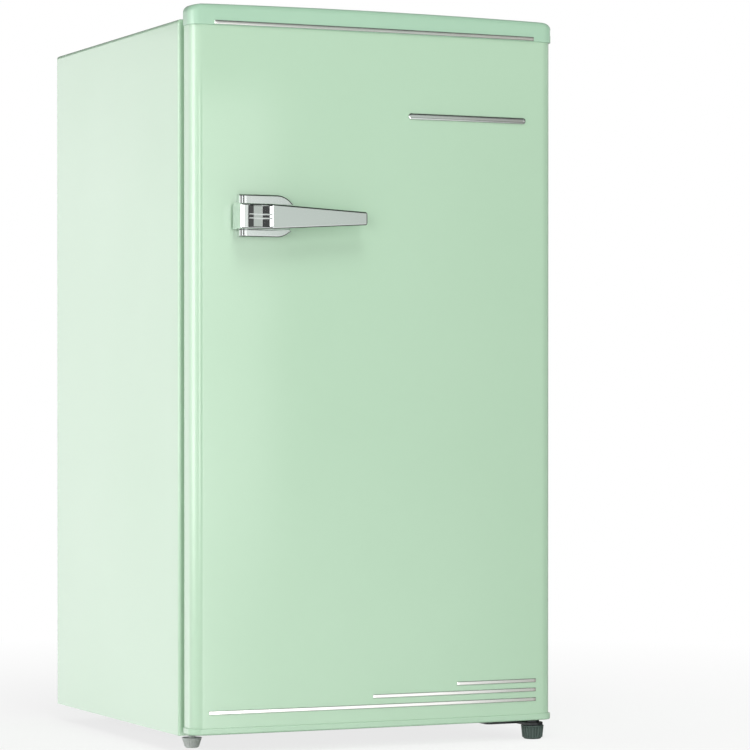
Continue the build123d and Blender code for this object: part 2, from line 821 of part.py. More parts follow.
def make_door_top_cap():
    end_z = overall_height - cap_crown
    half = door_half + 5 * cap_grow
    arch = make_face([
        Line((-half, skin_top), (half, skin_top)),
        Line((half, skin_top), (half, end_z)),
        ThreePointArc((half, end_z), (0, overall_height), (-half, end_z)),
        Line((-half, end_z), (-half, skin_top)),
    ])
    cap = cap_body(0, skin_top, overall_height) & extrude(Plane.XZ * arch, cabinet_width, both=True)
    cap = fillet([edge for edge in cap.edges() if edge.center().Z > end_z - 1], cap_round)
    block_left = hinge_x - 36
    hollow = cap_body(cap_wall, skin_top, end_z - cap_wall)
    cap -= hollow & slab(-half, block_left, -cabinet_width, 0, skin_top, overall_height)
    cap += cap_lip(skin_top - cap_lip_height, skin_top)
    slot = slab(block_left, half, hinge_y - boss_radius, cap_back, cabinet_top - sheet, upper_plate_top + 3)
    cap += post(hinge_x, hinge_y, skin_top - cap_lip_height, skin_top, boss_radius)
    return cap - slot - bush_hole(skin_top - cap_lip_height, cabinet_top)


def make_door_bottom_cap():
    floor = cap_bottom + cap_wall
    boss_top = cap_bottom + 18
    cap = cap_body(0, cap_bottom, skin_bottom)
    cap = fillet(cap.edges().group_by(Axis.Z)[0], 2)
    cap -= cap_body(cap_wall, floor, skin_bottom)
    cap += cap_lip(floor - cap_wall / 2, skin_bottom + cap_lip_height)
    return cap + post(hinge_x, hinge_y, floor - cap_wall / 2, boss_top, boss_radius) - bush_hole(cap_bottom, boss_top)


def make_hinge_bushes():
    bushes = []
    for z0, z1 in ((cap_bottom, cap_bottom + 18), (skin_top - cap_lip_height, cabinet_top - sheet)):
        bushes.append(bush_hole(z0, z1) - post(hinge_x, hinge_y, z0, z1, hinge_pin + running_gap))
    return group(bushes)


def dike_solid(wall):
    # The raised rim on the inner panel, less the middle that lies back; a wall makes it smaller
    rim = wide(dike_half - wall, door_back, dike_back - wall, dike_bottom + wall, dike_top - wall)
    return rim - wide(dike_half - dike_width + wall, dike_floor - wall, dike_back, dike_bottom + dike_width - wall,
                      dike_top - dike_width + wall)


def make_door_liner():
    edge = 8
    flange = wide(door_half - 6, door_back, door_back + liner_wall, skin_bottom + edge, skin_top - edge)
    liner = flange + dike_solid(0) - dike_solid(liner_wall)
    for z in (rack_upper_z, rack_lower_z):
        liner += both_sides(slab(rack_half - 12, rack_half + 1, dike_floor - 1, 12, z - 7, z))
    return liner


def make_door_foam():
    # The slab inside the skin, the plate behind the racks and the four bars inside the rim
    low = skin_bottom + cap_lip_height
    high = skin_top - cap_lip_height
    room = boss_radius + fit_gap
    slab_block = door_body(-sheet, low, high)
    slab_block += wide(door_half - skin_return, door_back - 2 * sheet, door_back, low, high)
    slab_block -= post(hinge_x, hinge_y, low, cap_bottom + 22, room)
    slab_block -= post(hinge_x, hinge_y, high - 4, high, room)
    outer = dike_half - liner_wall
    inner = dike_half - dike_width + liner_wall
    bar_y0 = dike_floor - liner_wall
    bar_y1 = dike_back - liner_wall
    z0 = dike_bottom + liner_wall
    z1 = dike_top - liner_wall
    bar = dike_width - 2 * liner_wall
    upright = slab(inner, outer, bar_y0, bar_y1, z0, z1)
    plate = wide(outer, door_back, bar_y0, z0, z1)
    foot_bar = wide(inner, bar_y0, bar_y1, z0, z0 + bar)
    head_bar = wide(inner, bar_y0, bar_y1, z1 - bar, z1)
    return group([slab_block, plate, upright, mirror(upright, Plane.YZ), foot_bar, head_bar])


def gasket_ring(near, far, y0, y1):
    def frame(out):
        reach = gasket_inset + out
        return wide(cavity_half + reach, y0, y1, cavity_floor - reach, cavity_roof + reach)
    return frame(far) - frame(near)


def make_door_gasket():
    foot = gasket_ring(0, gasket_width, door_back + liner_wall, -7.4)
    web = gasket_ring(4, gasket_width - 4, -7.4, -4.4)
    return foot + web + gasket_ring(1, gasket_width - 1, -4.4, -slide_gap)


def make_rack(bottom, height):
    y0 = dike_floor + slide_gap
    top = bottom + height
    rack = wide(rack_half, y0, rack_back, bottom, top)
    rack = fillet(rack.edges().filter_by(Axis.Z).group_by(Axis.Y)[-1], rack_round)
    hollow = wide(rack_half - rack_wall, y0 + rack_wall, rack_back - rack_wall, bottom + rack_wall, top)
    rack -= fillet(hollow.edges().filter_by(Axis.Z).group_by(Axis.Y)[-1], rack_round - rack_wall)
    return rack - wide(rack_half - 20, y0, y0 + rack_wall, bottom + 25, top)


# Bright trim

def trim_band(body, proud, x0, x1, z0, z1):
    # A thin strip that follows the bowed front of a piece
    strip = door_block(0, proud, door_back, door_back_round, z0, z1)
    return (strip & slab(x0, x1, -cabinet_depth, door_front + 8, z0, z1)) - body


def make_top_strip():
    z0 = skin_top + 0.8
    cap = cap_body(0, skin_top, overall_height)
    return trim_band(cap, cap_proud + trim_proud, -strip_half, strip_half, z0, z0 + strip_height)


def make_bottom_stripes():
    skin = door_body(0, skin_bottom, skin_top)
    half = stripe_height / 2
    return group([trim_band(skin, trim_proud, x, stripe_right, z - half, z + half) for x, z in stripe_starts])


def make_badge_bar():
    skin = door_body(0, skin_bottom, skin_top)
    bar = extrude(Plane.XZ * (Pos(badge_x, badge_z) * SlotOverall(badge_length, badge_height)), cabinet_depth)
    block = door_block(0, 1.5 * trim_proud, door_back, door_back_round, skin_bottom, skin_top)
    return (bar & block) - skin


# Handle

def make_handle_base():
    straight = base_arch_x - base_left
    arch = Pos(base_left + straight / 2, base_z) * Rectangle(straight, 2 * base_half_height)
    arch += Pos(base_arch_x, base_z) * Circle(base_half_height)
    behind = 30
    base = extrude(Plane.XZ.offset(behind) * arch, -base_front - behind)
    base = fillet(base.edges().group_by(Axis.Y)[0], 3)
    gap = lever_half_height + slide_gap
    slot = slab(base_left, base_arch_x + base_half_height, base_front, base_floor, handle_z - gap, handle_z + gap)
    return base - slot - make_handle_pin() - door_body(0, skin_bottom, skin_top)


def make_handle_pin():
    return post(handle_pin_x, handle_pin_y, handle_z - 19, handle_z + 19, handle_pin)


def lever_plan():
    # The lever seen from above: end wall, scooped thumb rest, blade that stands off the door
    front = -lever_reach
    under = base_front - 0.5
    wall_back = -44
    wall_x = lever_left + 3.5
    blade_x = -100
    scoop_middle = (scoop_left + scoop_right) / 2
    return make_face([
        Line((lever_left, wall_back), (lever_left, front + 3)),
        CenterArc((lever_left + 3, front + 3), 3, 180, 90),
        Line((lever_left + 3, front), (scoop_left, front)),
        ThreePointArc((scoop_left, front), (scoop_middle, front + scoop_depth), (scoop_right, front)),
        Line((scoop_right, front), (lever_tip, front + 2.5)),
        Line((lever_tip, front + 2.5), (lever_tip, front + lever_blade)),
        Line((lever_tip, front + lever_blade), (blade_x, front + lever_blade + 1)),
        Line((blade_x, front + lever_blade + 1), (scoop_right, under)),
        Line((scoop_right, under), (wall_x, under)),
        Line((wall_x, under), (wall_x, wall_back)),
        Line((wall_x, wall_back), (lever_left, wall_back)),
    ])


def make_handle_lever():
    z0 = handle_z - lever_half_height
    z1 = handle_z + lever_half_height
    side = make_face(Polyline((lever_left, z0), (scoop_right, z0), (lever_tip, handle_z - lever_tip_half),
                              (lever_tip, handle_z + lever_tip_half + 1), (scoop_right, z1), (lever_left, z1),
                              close=True))
    lever = Pos(0, 0, z0) * extrude(lever_plan(), z1 - z0) & extrude(Plane.XZ * side, cabinet_depth)
    lever = fillet(lever.edges().filter_by(Axis.Y).group_by(Axis.X)[-1], 2.5)
    for z in (handle_z - 2.5, handle_z + 2.5):
        lever += slab(scoop_left + 0.7, scoop_right - 0.5, 0.6 - lever_reach, 8 - lever_reach, z - 0.6, z + 0.6)
    reach = knuckle_radius
    knuckle = post(handle_pin_x, handle_pin_y, z0, z1, reach)
    knuckle += slab(handle_pin_x - reach, handle_pin_x + reach, base_front - 0.5, handle_pin_y, z0, z1)
    return lever + knuckle - post(handle_pin_x, handle_pin_y, z0, z1, handle_pin + running_gap)


pieces = {
    "cabinet_wrap": make_cabinet_wrap,
    "front_rail": make_front_rail,
    "base_pan": make_base_pan,
    "bulkhead": make_bulkhead,
    "rear_panel": make_rear_panel,
    "cabinet_foam": make_cabinet_foam,
    "inner_liner": make_inner_liner,
    "shelf_upper": lambda: make_shelf(shelf_upper_z),
    "shelf_lower": lambda: make_shelf(shelf_lower_z),
    "crisper_cover": lambda: make_shelf(crisper_cover_z),
    "shelf_trims": make_shelf_trims,
    "evaporator_box": make_evaporator_box,
    "freezer_frame": make_freezer_frame,
    "freezer_flap": make_freezer_flap,
    "drip_tray": make_drip_tray,
    "crisper_drawer": make_crisper_drawer,
    "thermostat_housing": make_thermostat_housing,
    "thermostat_body": make_thermostat_body,
    "thermostat_dial": make_thermostat_dial,
    "lamp_cover": make_lamp_cover,
    "lamp_bulb": make_lamp_bulb,
    "lamp_switch_button": make_lamp_switch_button,
    "compressor_base": make_compressor_base,
    "rear_crossbar": make_rear_crossbar,
    "compressor_shell": make_compressor_shell,
    "compressor_grommets": make_compressor_grommets,
    "compressor_bolts": make_compressor_bolts,
    "relay_box": make_relay_box,
    "cord_gland": make_cord_gland,
    "evaporation_tray": make_evaporation_tray,
    "drain_tube": make_drain_tube,
    "condenser_tube": make_condenser_tube,
    "condenser_wires": make_condenser_wires,
    "condenser_clips": make_condenser_clips,
    "filter_drier": make_filter_drier,
    "capillary_tube": make_capillary_tube,
    "suction_line": make_suction_line,
    "rear_feet": make_rear_feet,
    "foot_left": make_foot_left,
    "foot_right": make_foot_right,
    "upper_hinge_bracket": make_upper_hinge_bracket,
    "lower_hinge_bracket": make_lower_hinge_bracket,
    "hinge_pins": make_hinge_pins,
    "hinge_screws": make_hinge_screws,
    "hinge_cover": make_hinge_cover,
    "hinge_bushes": make_hinge_bushes,
    "door_skin": make_door_skin,
    "door_top_cap": make_door_top_cap,
    "door_bottom_cap": make_door_bottom_cap,
    "door_foam": make_door_foam,
    "door_liner": make_door_liner,
    "door_gasket": make_door_gasket,
    "rack_upper": lambda: make_rack(rack_upper_z, rack_upper_height),
    "rack_lower": lambda: make_rack(rack_lower_z, rack_lower_height),
    "top_strip": make_top_strip,
    "bottom_stripes": make_bottom_stripes,
    "badge_bar": make_badge_bar,
    "handle_base": make_handle_base,
    "handle_pin": make_handle_pin,
    "handle_lever": make_handle_lever,
}

os.makedirs("parts", exist_ok=True)
for name, make in pieces.items():
    export_step(Pos(0, row_shift, 0) * make(), f"parts/{name}.step")
    print("made", name)
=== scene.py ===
import json
from math import atan2, cos, pi, radians, sin, sqrt

import bmesh
import bpy
from mathutils import Matrix, Vector


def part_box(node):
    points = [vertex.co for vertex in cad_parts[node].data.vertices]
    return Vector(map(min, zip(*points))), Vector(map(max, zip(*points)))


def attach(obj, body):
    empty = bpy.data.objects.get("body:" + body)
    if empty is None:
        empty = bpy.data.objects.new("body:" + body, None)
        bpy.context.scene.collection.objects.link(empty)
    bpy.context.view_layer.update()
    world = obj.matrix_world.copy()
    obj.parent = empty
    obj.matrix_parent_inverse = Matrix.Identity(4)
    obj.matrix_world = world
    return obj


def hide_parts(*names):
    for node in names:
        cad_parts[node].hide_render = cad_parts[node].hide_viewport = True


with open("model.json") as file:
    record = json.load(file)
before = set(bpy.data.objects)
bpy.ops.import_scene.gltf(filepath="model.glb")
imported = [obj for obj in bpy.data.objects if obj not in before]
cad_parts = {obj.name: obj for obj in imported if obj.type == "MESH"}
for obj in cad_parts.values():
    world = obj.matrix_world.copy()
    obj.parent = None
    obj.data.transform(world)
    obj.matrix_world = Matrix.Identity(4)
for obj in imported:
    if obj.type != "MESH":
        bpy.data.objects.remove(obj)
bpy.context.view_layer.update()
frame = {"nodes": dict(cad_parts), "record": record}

cadNodes = frame["nodes"]
mm = 0.001
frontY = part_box("cabinet_wrap")[0][1]  # the cabinet's front plane; the door hangs in front of it
crispAngle = 32  # degrees; edges that turn more than this stay sharp
poleRadius = 0.02  # mm; the ends of a turned shape stop this close to its axis
scene = bpy.context.scene
print("frame loaded:", len(cadNodes), "nodes")


# Small helpers for nodes and meshes

def hexToLinear(code):
    parts = [int(code[i:i + 2], 16) / 255 for i in (1, 3, 5)]
    return [p / 12.92 if p <= 0.04045 else ((p + 0.055) / 1.055) ** 2.4 for p in parts] + [1.0]


def addNode(tree, kind, settings=None, links=None):
    node = tree.nodes.new(kind)
    for key, value in (settings or {}).items():
        if isinstance(key, str) and hasattr(node, key):
            setattr(node, key, value)
        else:
            node.inputs[key].default_value = value
    for key, source in (links or {}).items():
        tree.links.new(source, node.inputs[key])
    return node


def emptyTree(owner):
    # The cleared node tree of a new material or world
    owner.use_nodes = True
    owner.node_tree.nodes.clear()
    return owner.node_tree


def evenSteps(start, end, steps):
    return [start + (end - start) * i / steps for i in range(steps + 1)]


def quarterTurn(steps):
    return evenSteps(0, pi / 2, steps)


def linkObject(name, data):
    piece = bpy.data.objects.new(name, data)
    scene.collection.objects.link(piece)
    return piece


def shadeSmooth(mesh, sharpAngle=crispAngle):
    mesh.shade_smooth()
    mesh.set_sharp_from_angle(angle=radians(sharpAngle))


def meshFromBmesh(name, bm, sharpAngle=crispAngle, fixNormals=True):
    if fixNormals:
        bmesh.ops.recalc_face_normals(bm, faces=bm.faces)
    mesh = bpy.data.meshes.new(name)
    bm.to_mesh(mesh)
    bm.free()
    shadeSmooth(mesh, sharpAngle)
    return linkObject(name, mesh)


def finalMesh(piece):
    # What the object looks like with its modifiers at work, as a plain mesh
    return bpy.data.meshes.new_from_object(piece.evaluated_get(bpy.context.evaluated_depsgraph_get()))


def bakeModifiers(piece):
    mesh = finalMesh(piece)
    piece.modifiers.clear()
    piece.data = mesh


def dress(piece, body, slot, *replaced, material=None):
    if piece.modifiers:
        bakeModifiers(piece)
        piece.data.set_sharp_from_angle(angle=radians(crispAngle))
    # Flat faces keep their own direction, so only the rounds between them turn the light
    piece.modifiers.new("evenNormals", "WEIGHTED_NORMAL").keep_sharp = True
    bakeModifiers(piece)
    piece.data.materials.clear()
    piece.data.materials.append(material or finishes[slot])
    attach(piece, body)
    if replaced:
        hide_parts(*replaced)
    return piece


def loft(bm, rings, closed=True, ends=None):
    # Skins a run of rings; "flat" ends are one face each, "paired" ends a strip of quads
    # across a ring that runs out along one side and back along the other
    rows = [[bm.verts.new(p) for p in ring] for ring in rings]
    count = len(rows[0])
    for low, high in zip(rows, rows[1:]):
        for i in range(count if closed else count - 1):
            j = (i + 1) % count
            bm.faces.new((low[i], low[j], high[j], high[i]))
    for row in (rows[0], rows[-1]):
        if ends == "flat":
            bm.faces.new(row)
        elif ends == "paired":
            for i in range(count // 2 - 1):
                bm.faces.new((row[i], row[i + 1], row[-2 - i], row[-1 - i]))


def foldSheet(piece, thickness):
    wall = piece.modifiers.new("sheet", "SOLIDIFY")
    wall.thickness = thickness
    wall.offset = -1
    return piece


def edgesOf(verts):
    return list(dict.fromkeys(e for v in verts for e in v.link_edges))  # each once, in the same order every run


def roundEdges(bm, edges, radius, segments=2):
    bmesh.ops.bevel(bm, geom=edges, offset=radius, segments=segments, profile=0.5, affect="EDGES",
                    clamp_overlap=True)


def addBlock(bm, low, high, edgeRound=0):
    made = bmesh.ops.create_cube(bm, size=1)["verts"]
    low, high = Vector(low), Vector(high)
    for v in made:
        v.co = (low + high) / 2 + Vector(a * b for a, b in zip(v.co, high - low))
    if edgeRound:
        roundEdges(bm, edgesOf(made), edgeRound)
    return made


def roundedFace(face, low, high, radius, steps):
    # A bar cut across: (y, z) points up its front, round the lower and the upper edge
    lower = [(face + radius - radius * sin(t), low + radius - radius * cos(t)) for t in quarterTurn(steps)]
    upper = [(face + radius - radius * cos(t), high - radius + radius * sin(t)) for t in quarterTurn(steps)]
    return lower, upper


# Finishes

def perMetre(sizeMm):
    return 1 / (sizeMm * mm)  # texture scale whose features are sizeMm across


def startFinish(name, settings):
    material = bpy.data.materials.new(name)
    tree = emptyTree(material)
    shader = addNode(tree, "ShaderNodeBsdfPrincipled", settings)
    addNode(tree, "ShaderNodeOutputMaterial", links={"Surface": shader.outputs[0]})
    return material, tree, shader, addNode(tree, "ShaderNodeTexCoord").outputs["Object"]


def blendTones(tree, shader, tone, light, dark, rough=None, glossTone=None):
    # Colour follows a pattern from light to dark, and roughness follows it or another one between two values
    mix = addNode(tree, "ShaderNodeMix", {"data_type": "RGBA", 6: hexToLinear(light), 7: hexToLinear(dark)}, {0: tone})
    tree.links.new(mix.outputs[2], shader.inputs["Base Color"])
    if rough:
        spread = addNode(tree, "ShaderNodeMapRange", {"From Min": 0.3, "From Max": 0.7, "To Min": rough[0],
                                                      "To Max": rough[1]}, {"Value": glossTone or tone})
        tree.links.new(spread.outputs[0], shader.inputs["Roughness"])


def makeFinish(name, settings, light, dark, cloud, rough=None, stretch=None, grain=None):
    # Clouds of a size in mm, which a stretch draws out into lines; a grain has size, detail, depth and strength
    material, tree, shader, place = startFinish(name, settings)
    drawn = place
    if stretch:
        drawn = addNode(tree, "ShaderNodeMapping", {"Scale": stretch}, {"Vector": place}).outputs[0]
    noise = addNode(tree, "ShaderNodeTexNoise", {"Scale": perMetre(cloud), "Detail": 3.0}, {"Vector": drawn})
    blendTones(tree, shader, noise.outputs["Fac"], light, dark, rough)
    if grain:
        size, detail, depth, strength = grain
        noise = addNode(tree, "ShaderNodeTexNoise", {"Scale": perMetre(size), "Detail": detail}, {"Vector": place})
        bump = addNode(tree, "ShaderNodeBump", {"Strength": strength, "Distance": depth * mm},
                       {"Height": noise.outputs["Fac"]})
        tree.links.new(bump.outputs[0], shader.inputs["Normal"])
    return material


def zincSheet():
    # Hot dip galvanised sheet: grey with the broad angular spangle of the zinc
    material, tree, shader, place = startFinish("galvanisedSheet", {"Metallic": 0.9})
    spangle = addNode(tree, "ShaderNodeTexVoronoi", {"Scale": perMetre(14), "Randomness": 1.0}, {"Vector": place})
    tone = addNode(tree, "ShaderNodeSeparateColor", links={"Color": spangle.outputs["Color"]}).outputs
    blendTones(tree, shader, tone[0], "#B4B9BB", "#9BA1A4", (0.40, 0.52), tone[1])
    return material


def insulationFoam():
    # Rigid polyurethane foam: straw coloured cells, quite matte
    material, tree, shader, place = startFinish("polyurethaneFoam", {"IOR": 1.4})
    cells = addNode(tree, "ShaderNodeTexVoronoi", {"Scale": perMetre(1.5)}, {"Vector": place}).outputs["Distance"]
    blendTones(tree, shader, cells, "#D9C48D", "#EBDCAE", (0.80, 0.90))
    bump = addNode(tree, "ShaderNodeBump", {"Strength": 0.6, "Distance": 0.15 * mm}, {"Height": cells})
    tree.links.new(bump.outputs[0], shader.inputs["Normal"])
    return material


metal = {"Metallic": 1.0}
mintAbs = {"IOR": 1.53, "Coat Weight": 0.9, "Coat Roughness": 0.10}
finishes = {
    # Stove enamel sprayed on steel sheet: even pale mint, glossy, with a faint orange peel
    "mint_paint": makeFinish("mintBakedEnamel", {"IOR": 1.55, "Coat Weight": 1.0, "Coat Roughness": 0.06},
                             "#BFE0C3", "#BBDEBF", 240, (0.30, 0.36), grain=(3.5, 2.0, 0.012, 0.5)),
    # Injection moulded ABS of the upper cap: softer in gloss than the enamel beside it and a touch bluer
    "mint_plastic": makeFinish("mintMouldedAbs", mintAbs, "#B5DCC0", "#B1D9BC", 160, (0.30, 0.38),
                               grain=(1.2, 2.0, 0.006, 0.5)),
    # Chrome plated zinc casting: a mirror with the faintest polishing haze
    "chrome": makeFinish("brightChromePlate", metal, "#E3E7E5", "#DCE1DF", 30, (0.05, 0.09)),
    # Moulded ABS fittings: warmer white than the liner, finely sparked
    "white_plastic": makeFinish("whiteMouldedAbs", {"IOR": 1.53}, "#F0F0EC", "#EAEBE6", 60, (0.36, 0.45),
                                grain=(0.7, 1.0, 0.01, 0.4)),
    "foam": insulationFoam(),
    # Clear moulded polystyrene of the racks and drawers: a slight cool tint and soft gloss; bends light little,
    # so that what stands behind keeps its place
    "clear_plastic": makeFinish("clearMouldedStyrene", {"IOR": 1.12, "Roughness": 0.08, "Transmission Weight": 1.0},
                                "#FAFCFD", "#F4F9FB", 40),
    # Toughened float glass: faintly green and quite clear
    "shelf_glass": makeFinish("toughenedShelfGlass", {"IOR": 1.45, "Roughness": 0.02, "Transmission Weight": 1.0},
                              "#F1FAF6", "#E9F6F0", 40),
    # Roll bonded aluminium of the freezer box: dull silver with fine lines along the rolling
    "evaporator_aluminium": makeFinish("rolledAluminium", metal, "#D9DCDD", "#C3C8CA", 1.6, (0.34, 0.46),
                                       stretch=(0.03, 1, 1)),
    "galvanised_steel": zincSheet(),
    # Black dip paint on compressor and condenser: satin, a little uneven
    "black_paint": makeFinish("blackDipPaint", {"IOR": 1.5}, "#26282A", "#1C1E20", 22, (0.32, 0.46),
                              grain=(2.0, 2.0, 0.03, 0.4)),
    # Zinc plated steel of screws, pins and brackets: pale grey, mottled by the plating
    "bare_steel": makeFinish("zincPlatedSteel", metal, "#C6CACB", "#B2B7B9", 6, (0.26, 0.36)),
    # Drawn copper tube, lightly browned by handling and heat
    "copper_pipe": makeFinish("drawnCopperTube", metal, "#C98A66", "#9C5F43", 14, (0.28, 0.42)),
    # Extruded soft vinyl of the door seal, matte: pale, and painted lighter and mint as painted light, standing in for
    # the light the mint paint bounces into the gap round the door
    "gasket_rubber": makeFinish("vinylSealPaintedGapLight", {"IOR": 1.5}, "#DDF1E1", "#D2E9D8", 30, (0.52, 0.62)),
    # Moulded rubber of grommets and gland: deep grey, dry and matte
    "black_rubber": makeFinish("blackMouldedRubber", {"IOR": 1.5}, "#202122", "#17181A", 8, (0.62, 0.74)),
    # Nylon foot, slightly waxy: the feet's one grey painted pale, as painted light on the foot that stands in the light
    "pale_grey_plastic": makeFinish("paintedLitGreyNylon", {"IOR": 1.53, "Subsurface Weight": 0.15,
                                                      "Subsurface Radius": (0.004, 0.004, 0.004)},
                                    "#EEF3EF", "#E4EAE5", 10, (0.38, 0.48)),
    # The same nylon of the feet, dry: its grey painted down to slate, as painted shade on the foot that stands in
    # shadow; the dial's figures and pointer take it as their print colour
    "slate_plastic": makeFinish("paintedShadeSlateNylonAndPrint", {"IOR": 1.53}, "#54645E", "#485751", 7, (0.42, 0.55),
                                grain=(0.6, 2.0, 0.02, 0.4)),
    # Black moulded ABS of relay box, clips and water tray: fine texture, satin
    "black_plastic": makeFinish("blackMouldedAbs", {"IOR": 1.53}, "#2B2C2D", "#222324", 18, (0.42, 0.54),
                                grain=(0.8, 1.0, 0.03, 0.4)),
    # Opal lamp cover: lets the lamp glow through without showing it sharply
    "lamp_glass": makeFinish("opalLampGlass", {"IOR": 1.45, "Roughness": 0.3, "Transmission Weight": 0.6},
                             "#FBF7EA", "#F4EFDD", 15),
}
# Vacuum formed polystyrene: clean white with a low sheen and slow waves where the sheet was drawn
linerWhite = makeFinish("whiteFormedPolystyrene", {"IOR": 1.59}, "#F1F3F1", "#ECEFEC", 120, (0.32, 0.40),
                        grain=(120, 3.0, 0.25, 0.4))
# Bright anodised aluminium strip, drawn lengthwise: a soft silver with long fine lines
trimSilver = makeFinish("anodisedAluminiumTrim", metal, "#EDEDEA", "#DCDCD8", 0.8, (0.06, 0.11), stretch=(0.02, 1, 1))
# Moulded ABS again, in the lower cap's shade
lowerMint = makeFinish("mintMouldedAbsLower", mintAbs, "#BEE0C3", "#BADDBF", 160, (0.30, 0.38),
                       grain=(1.2, 2.0, 0.006, 0.5))
print("finishes made:", len(finishes) + 3)

# Every CAD node first takes the finish of its own slot
slotOf = {part["node"]: part["material_slot"] for part in frame["record"]["subparts"]}
for node, slot in slotOf.items():
    plain = cadNodes[node].data
    plain.materials.clear()
    plain.materials.append(linerWhite if "liner" in node else finishes[slot])


# Door skin and caps

door = {
    "cornerRadius": 14 * mm,
    "cornerSteps": 14,
    "bowRadius": 7.3,
    "bowSteps": 56,
    "skinBackRound": 2.5 * mm,
    "capBackRound": 9 * mm,
    "sheet": 1.0 * mm,
    # the sheet's folds behind the door
    "returnWidth": 14 * mm,
    "returnLap": 2 * mm,
    "returnProud": 0.1 * mm,
    "returnRound": 0.3 * mm,
    "topRound": 6 * mm,
    "topSteps": 10,
    "crown": 2 * mm,
    "crownReach": 8 * mm,  # the crown's full drop lies this far outside the cap
    "shoulder": 18 * mm,
    "shoulderDrop": 2.5 * mm,
    "bottomRound": 2 * mm,
    "bottomSteps": 6,
    "seamRound": 0.5 * mm,
    # the slot for the upper hinge arm: its left end, and room before, under and over the arm
    "slotLeft": 168 * mm,
    "slotGap": 1 * mm,
    "slotHead": 3 * mm,
    "slotRunOut": 5 * mm,
}


def bowedFront(front, x, bow=door["bowRadius"]):
    return front + bow - sqrt(bow * bow - x * x)


def doorOutline(half, front, back, backRound, inset=0.0):
    # Plan of the door as two rows of points, left to right: the bowed front, and the rear
    radius = door["cornerRadius"] - inset
    backRound = backRound - inset
    half, front, back = half - inset, front + inset, back - inset
    bow = door["bowRadius"] - inset
    side = half - radius
    drop = sqrt((bow - radius) ** 2 - side ** 2)
    cornerY = front + bow - drop
    steps = door["cornerSteps"]
    corner = [(side + radius * cos(t), cornerY - radius * sin(t)) for t in evenSteps(0, atan2(drop, side), steps)]
    endX = corner[-1][0]
    middle = [(x, bowedFront(front, x, bow)) for x in evenSteps(-endX, endX, door["bowSteps"])[1:-1]]
    rear = half - backRound
    heel = [(rear + backRound * cos(t), back - backRound + backRound * sin(t)) for t in quarterTurn(steps)]
    straight = [(x, back) for x in evenSteps(-rear, rear, door["bowSteps"])[1:-1]]
    frontRow = [(-x, y) for x, y in corner] + middle + corner[::-1]
    rearRow = [(-x, y) for x, y in heel] + straight + heel[::-1]
    return frontRow, rearRow


def makeDoorSkin():
    low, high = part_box("door_skin")
    frontRow, rearRow = doorOutline(high[0], low[1], high[1], door["skinBackRound"])
    turn = door["cornerSteps"] + 1
    tail = high[0] - door["returnWidth"]
    path = [(-tail, high[1])] + rearRow[:turn][::-1] + frontRow + rearRow[-turn:][::-1] + [(tail, high[1])]
    bm = bmesh.new()
    loft(bm, [[(x, y, z) for x, y in path] for z in (low[2], high[2])], closed=False)
    skin = meshFromBmesh("doorSkin", bm, fixNormals=False)
    dress(foldSheet(skin, door["sheet"]), "door", "mint_paint", "door_skin")


def makeDoorReturns():
    # The sheet also folds in along its top and bottom edges, over the foam and under the liner
    low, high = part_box("door_skin")
    linerLow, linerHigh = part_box("door_liner")
    lap = door["returnLap"]
    reach = high[0] - door["returnWidth"] + lap
    bm = bmesh.new()
    for bottom, top in ((low[2], linerLow[2] + lap), (linerHigh[2] - lap, high[2])):
        addBlock(bm, (-reach, high[1] - door["sheet"], bottom), (reach, high[1] + door["returnProud"], top),
                 door["returnRound"])
    dress(meshFromBmesh("doorReturns", bm), "door", "mint_paint")


def makeCap(name, node, seamZ, up, fillet, steps, rimZ):
    # From the seam with the skin, up or down to a rounded rim whose height may change along x
    low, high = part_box(node)
    edge = door["seamRound"]

    def ring(inset, height):
        frontRow, rearRow = doorOutline(high[0], low[1], high[1], door["capBackRound"], inset)
        return [(x, y, height(x)) for x, y in frontRow + rearRow[::-1]]

    rings = [ring(edge, lambda x: seamZ), ring(0, lambda x: seamZ + up * edge)]
    for t in quarterTurn(steps):
        rings.append(ring(fillet * (1 - cos(t)), lambda x: rimZ(x) - up * fillet * (1 - sin(t))))
    bm = bmesh.new()
    loft(bm, rings, ends="paired")
    return meshFromBmesh(name, bm)


def cutAway(piece, cutter):
    knife = piece.modifiers.new("cut", "BOOLEAN")
    knife.operation = "DIFFERENCE"
    knife.solver = "EXACT"
    knife.object = cutter
    bakeModifiers(piece)
    bpy.data.objects.remove(cutter)
    shadeSmooth(piece.data)


def makeTopCap():
    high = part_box("door_top_cap")[1]

    def crest(x):
        past = max(0.0, abs(x) - high[0] + door["shoulder"]) / door["shoulder"]
        bowed = door["crown"] * (x / (high[0] + door["crownReach"])) ** 2
        return high[2] - bowed - door["shoulderDrop"] * past ** 2

    cap = makeCap("doorTopCap", "door_top_cap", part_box("door_skin")[1][2], up=1, fillet=door["topRound"],
                  steps=door["topSteps"], rimZ=crest)
    # The hinge arm works in a slot that is open to the rear and to the right
    armLow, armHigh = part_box("upper_hinge_bracket")
    gap, runOut = door["slotGap"], door["slotRunOut"]
    cutter = bmesh.new()
    addBlock(cutter, (door["slotLeft"], armLow[1] - gap, armLow[2] - gap),
             (high[0] + runOut, high[1] + runOut, armHigh[2] + door["slotHead"]))
    cutAway(cap, meshFromBmesh("hingeSlotCutter", cutter))
    dress(cap, "door", "mint_plastic", "door_top_cap")


def makeBottomCap():
    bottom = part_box("door_bottom_cap")[0][2]
    cap = makeCap("doorBottomCap", "door_bottom_cap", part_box("door_skin")[0][2], up=-1, fillet=door["bottomRound"],
                  steps=door["bottomSteps"], rimZ=lambda x: bottom)
    dress(cap, "door", "mint_plastic", "door_bottom_cap", material=lowerMint)


makeDoorSkin()
makeDoorReturns()
makeTopCap()
makeBottomCap()
print("door skin and caps made")


# Bright strips on the door

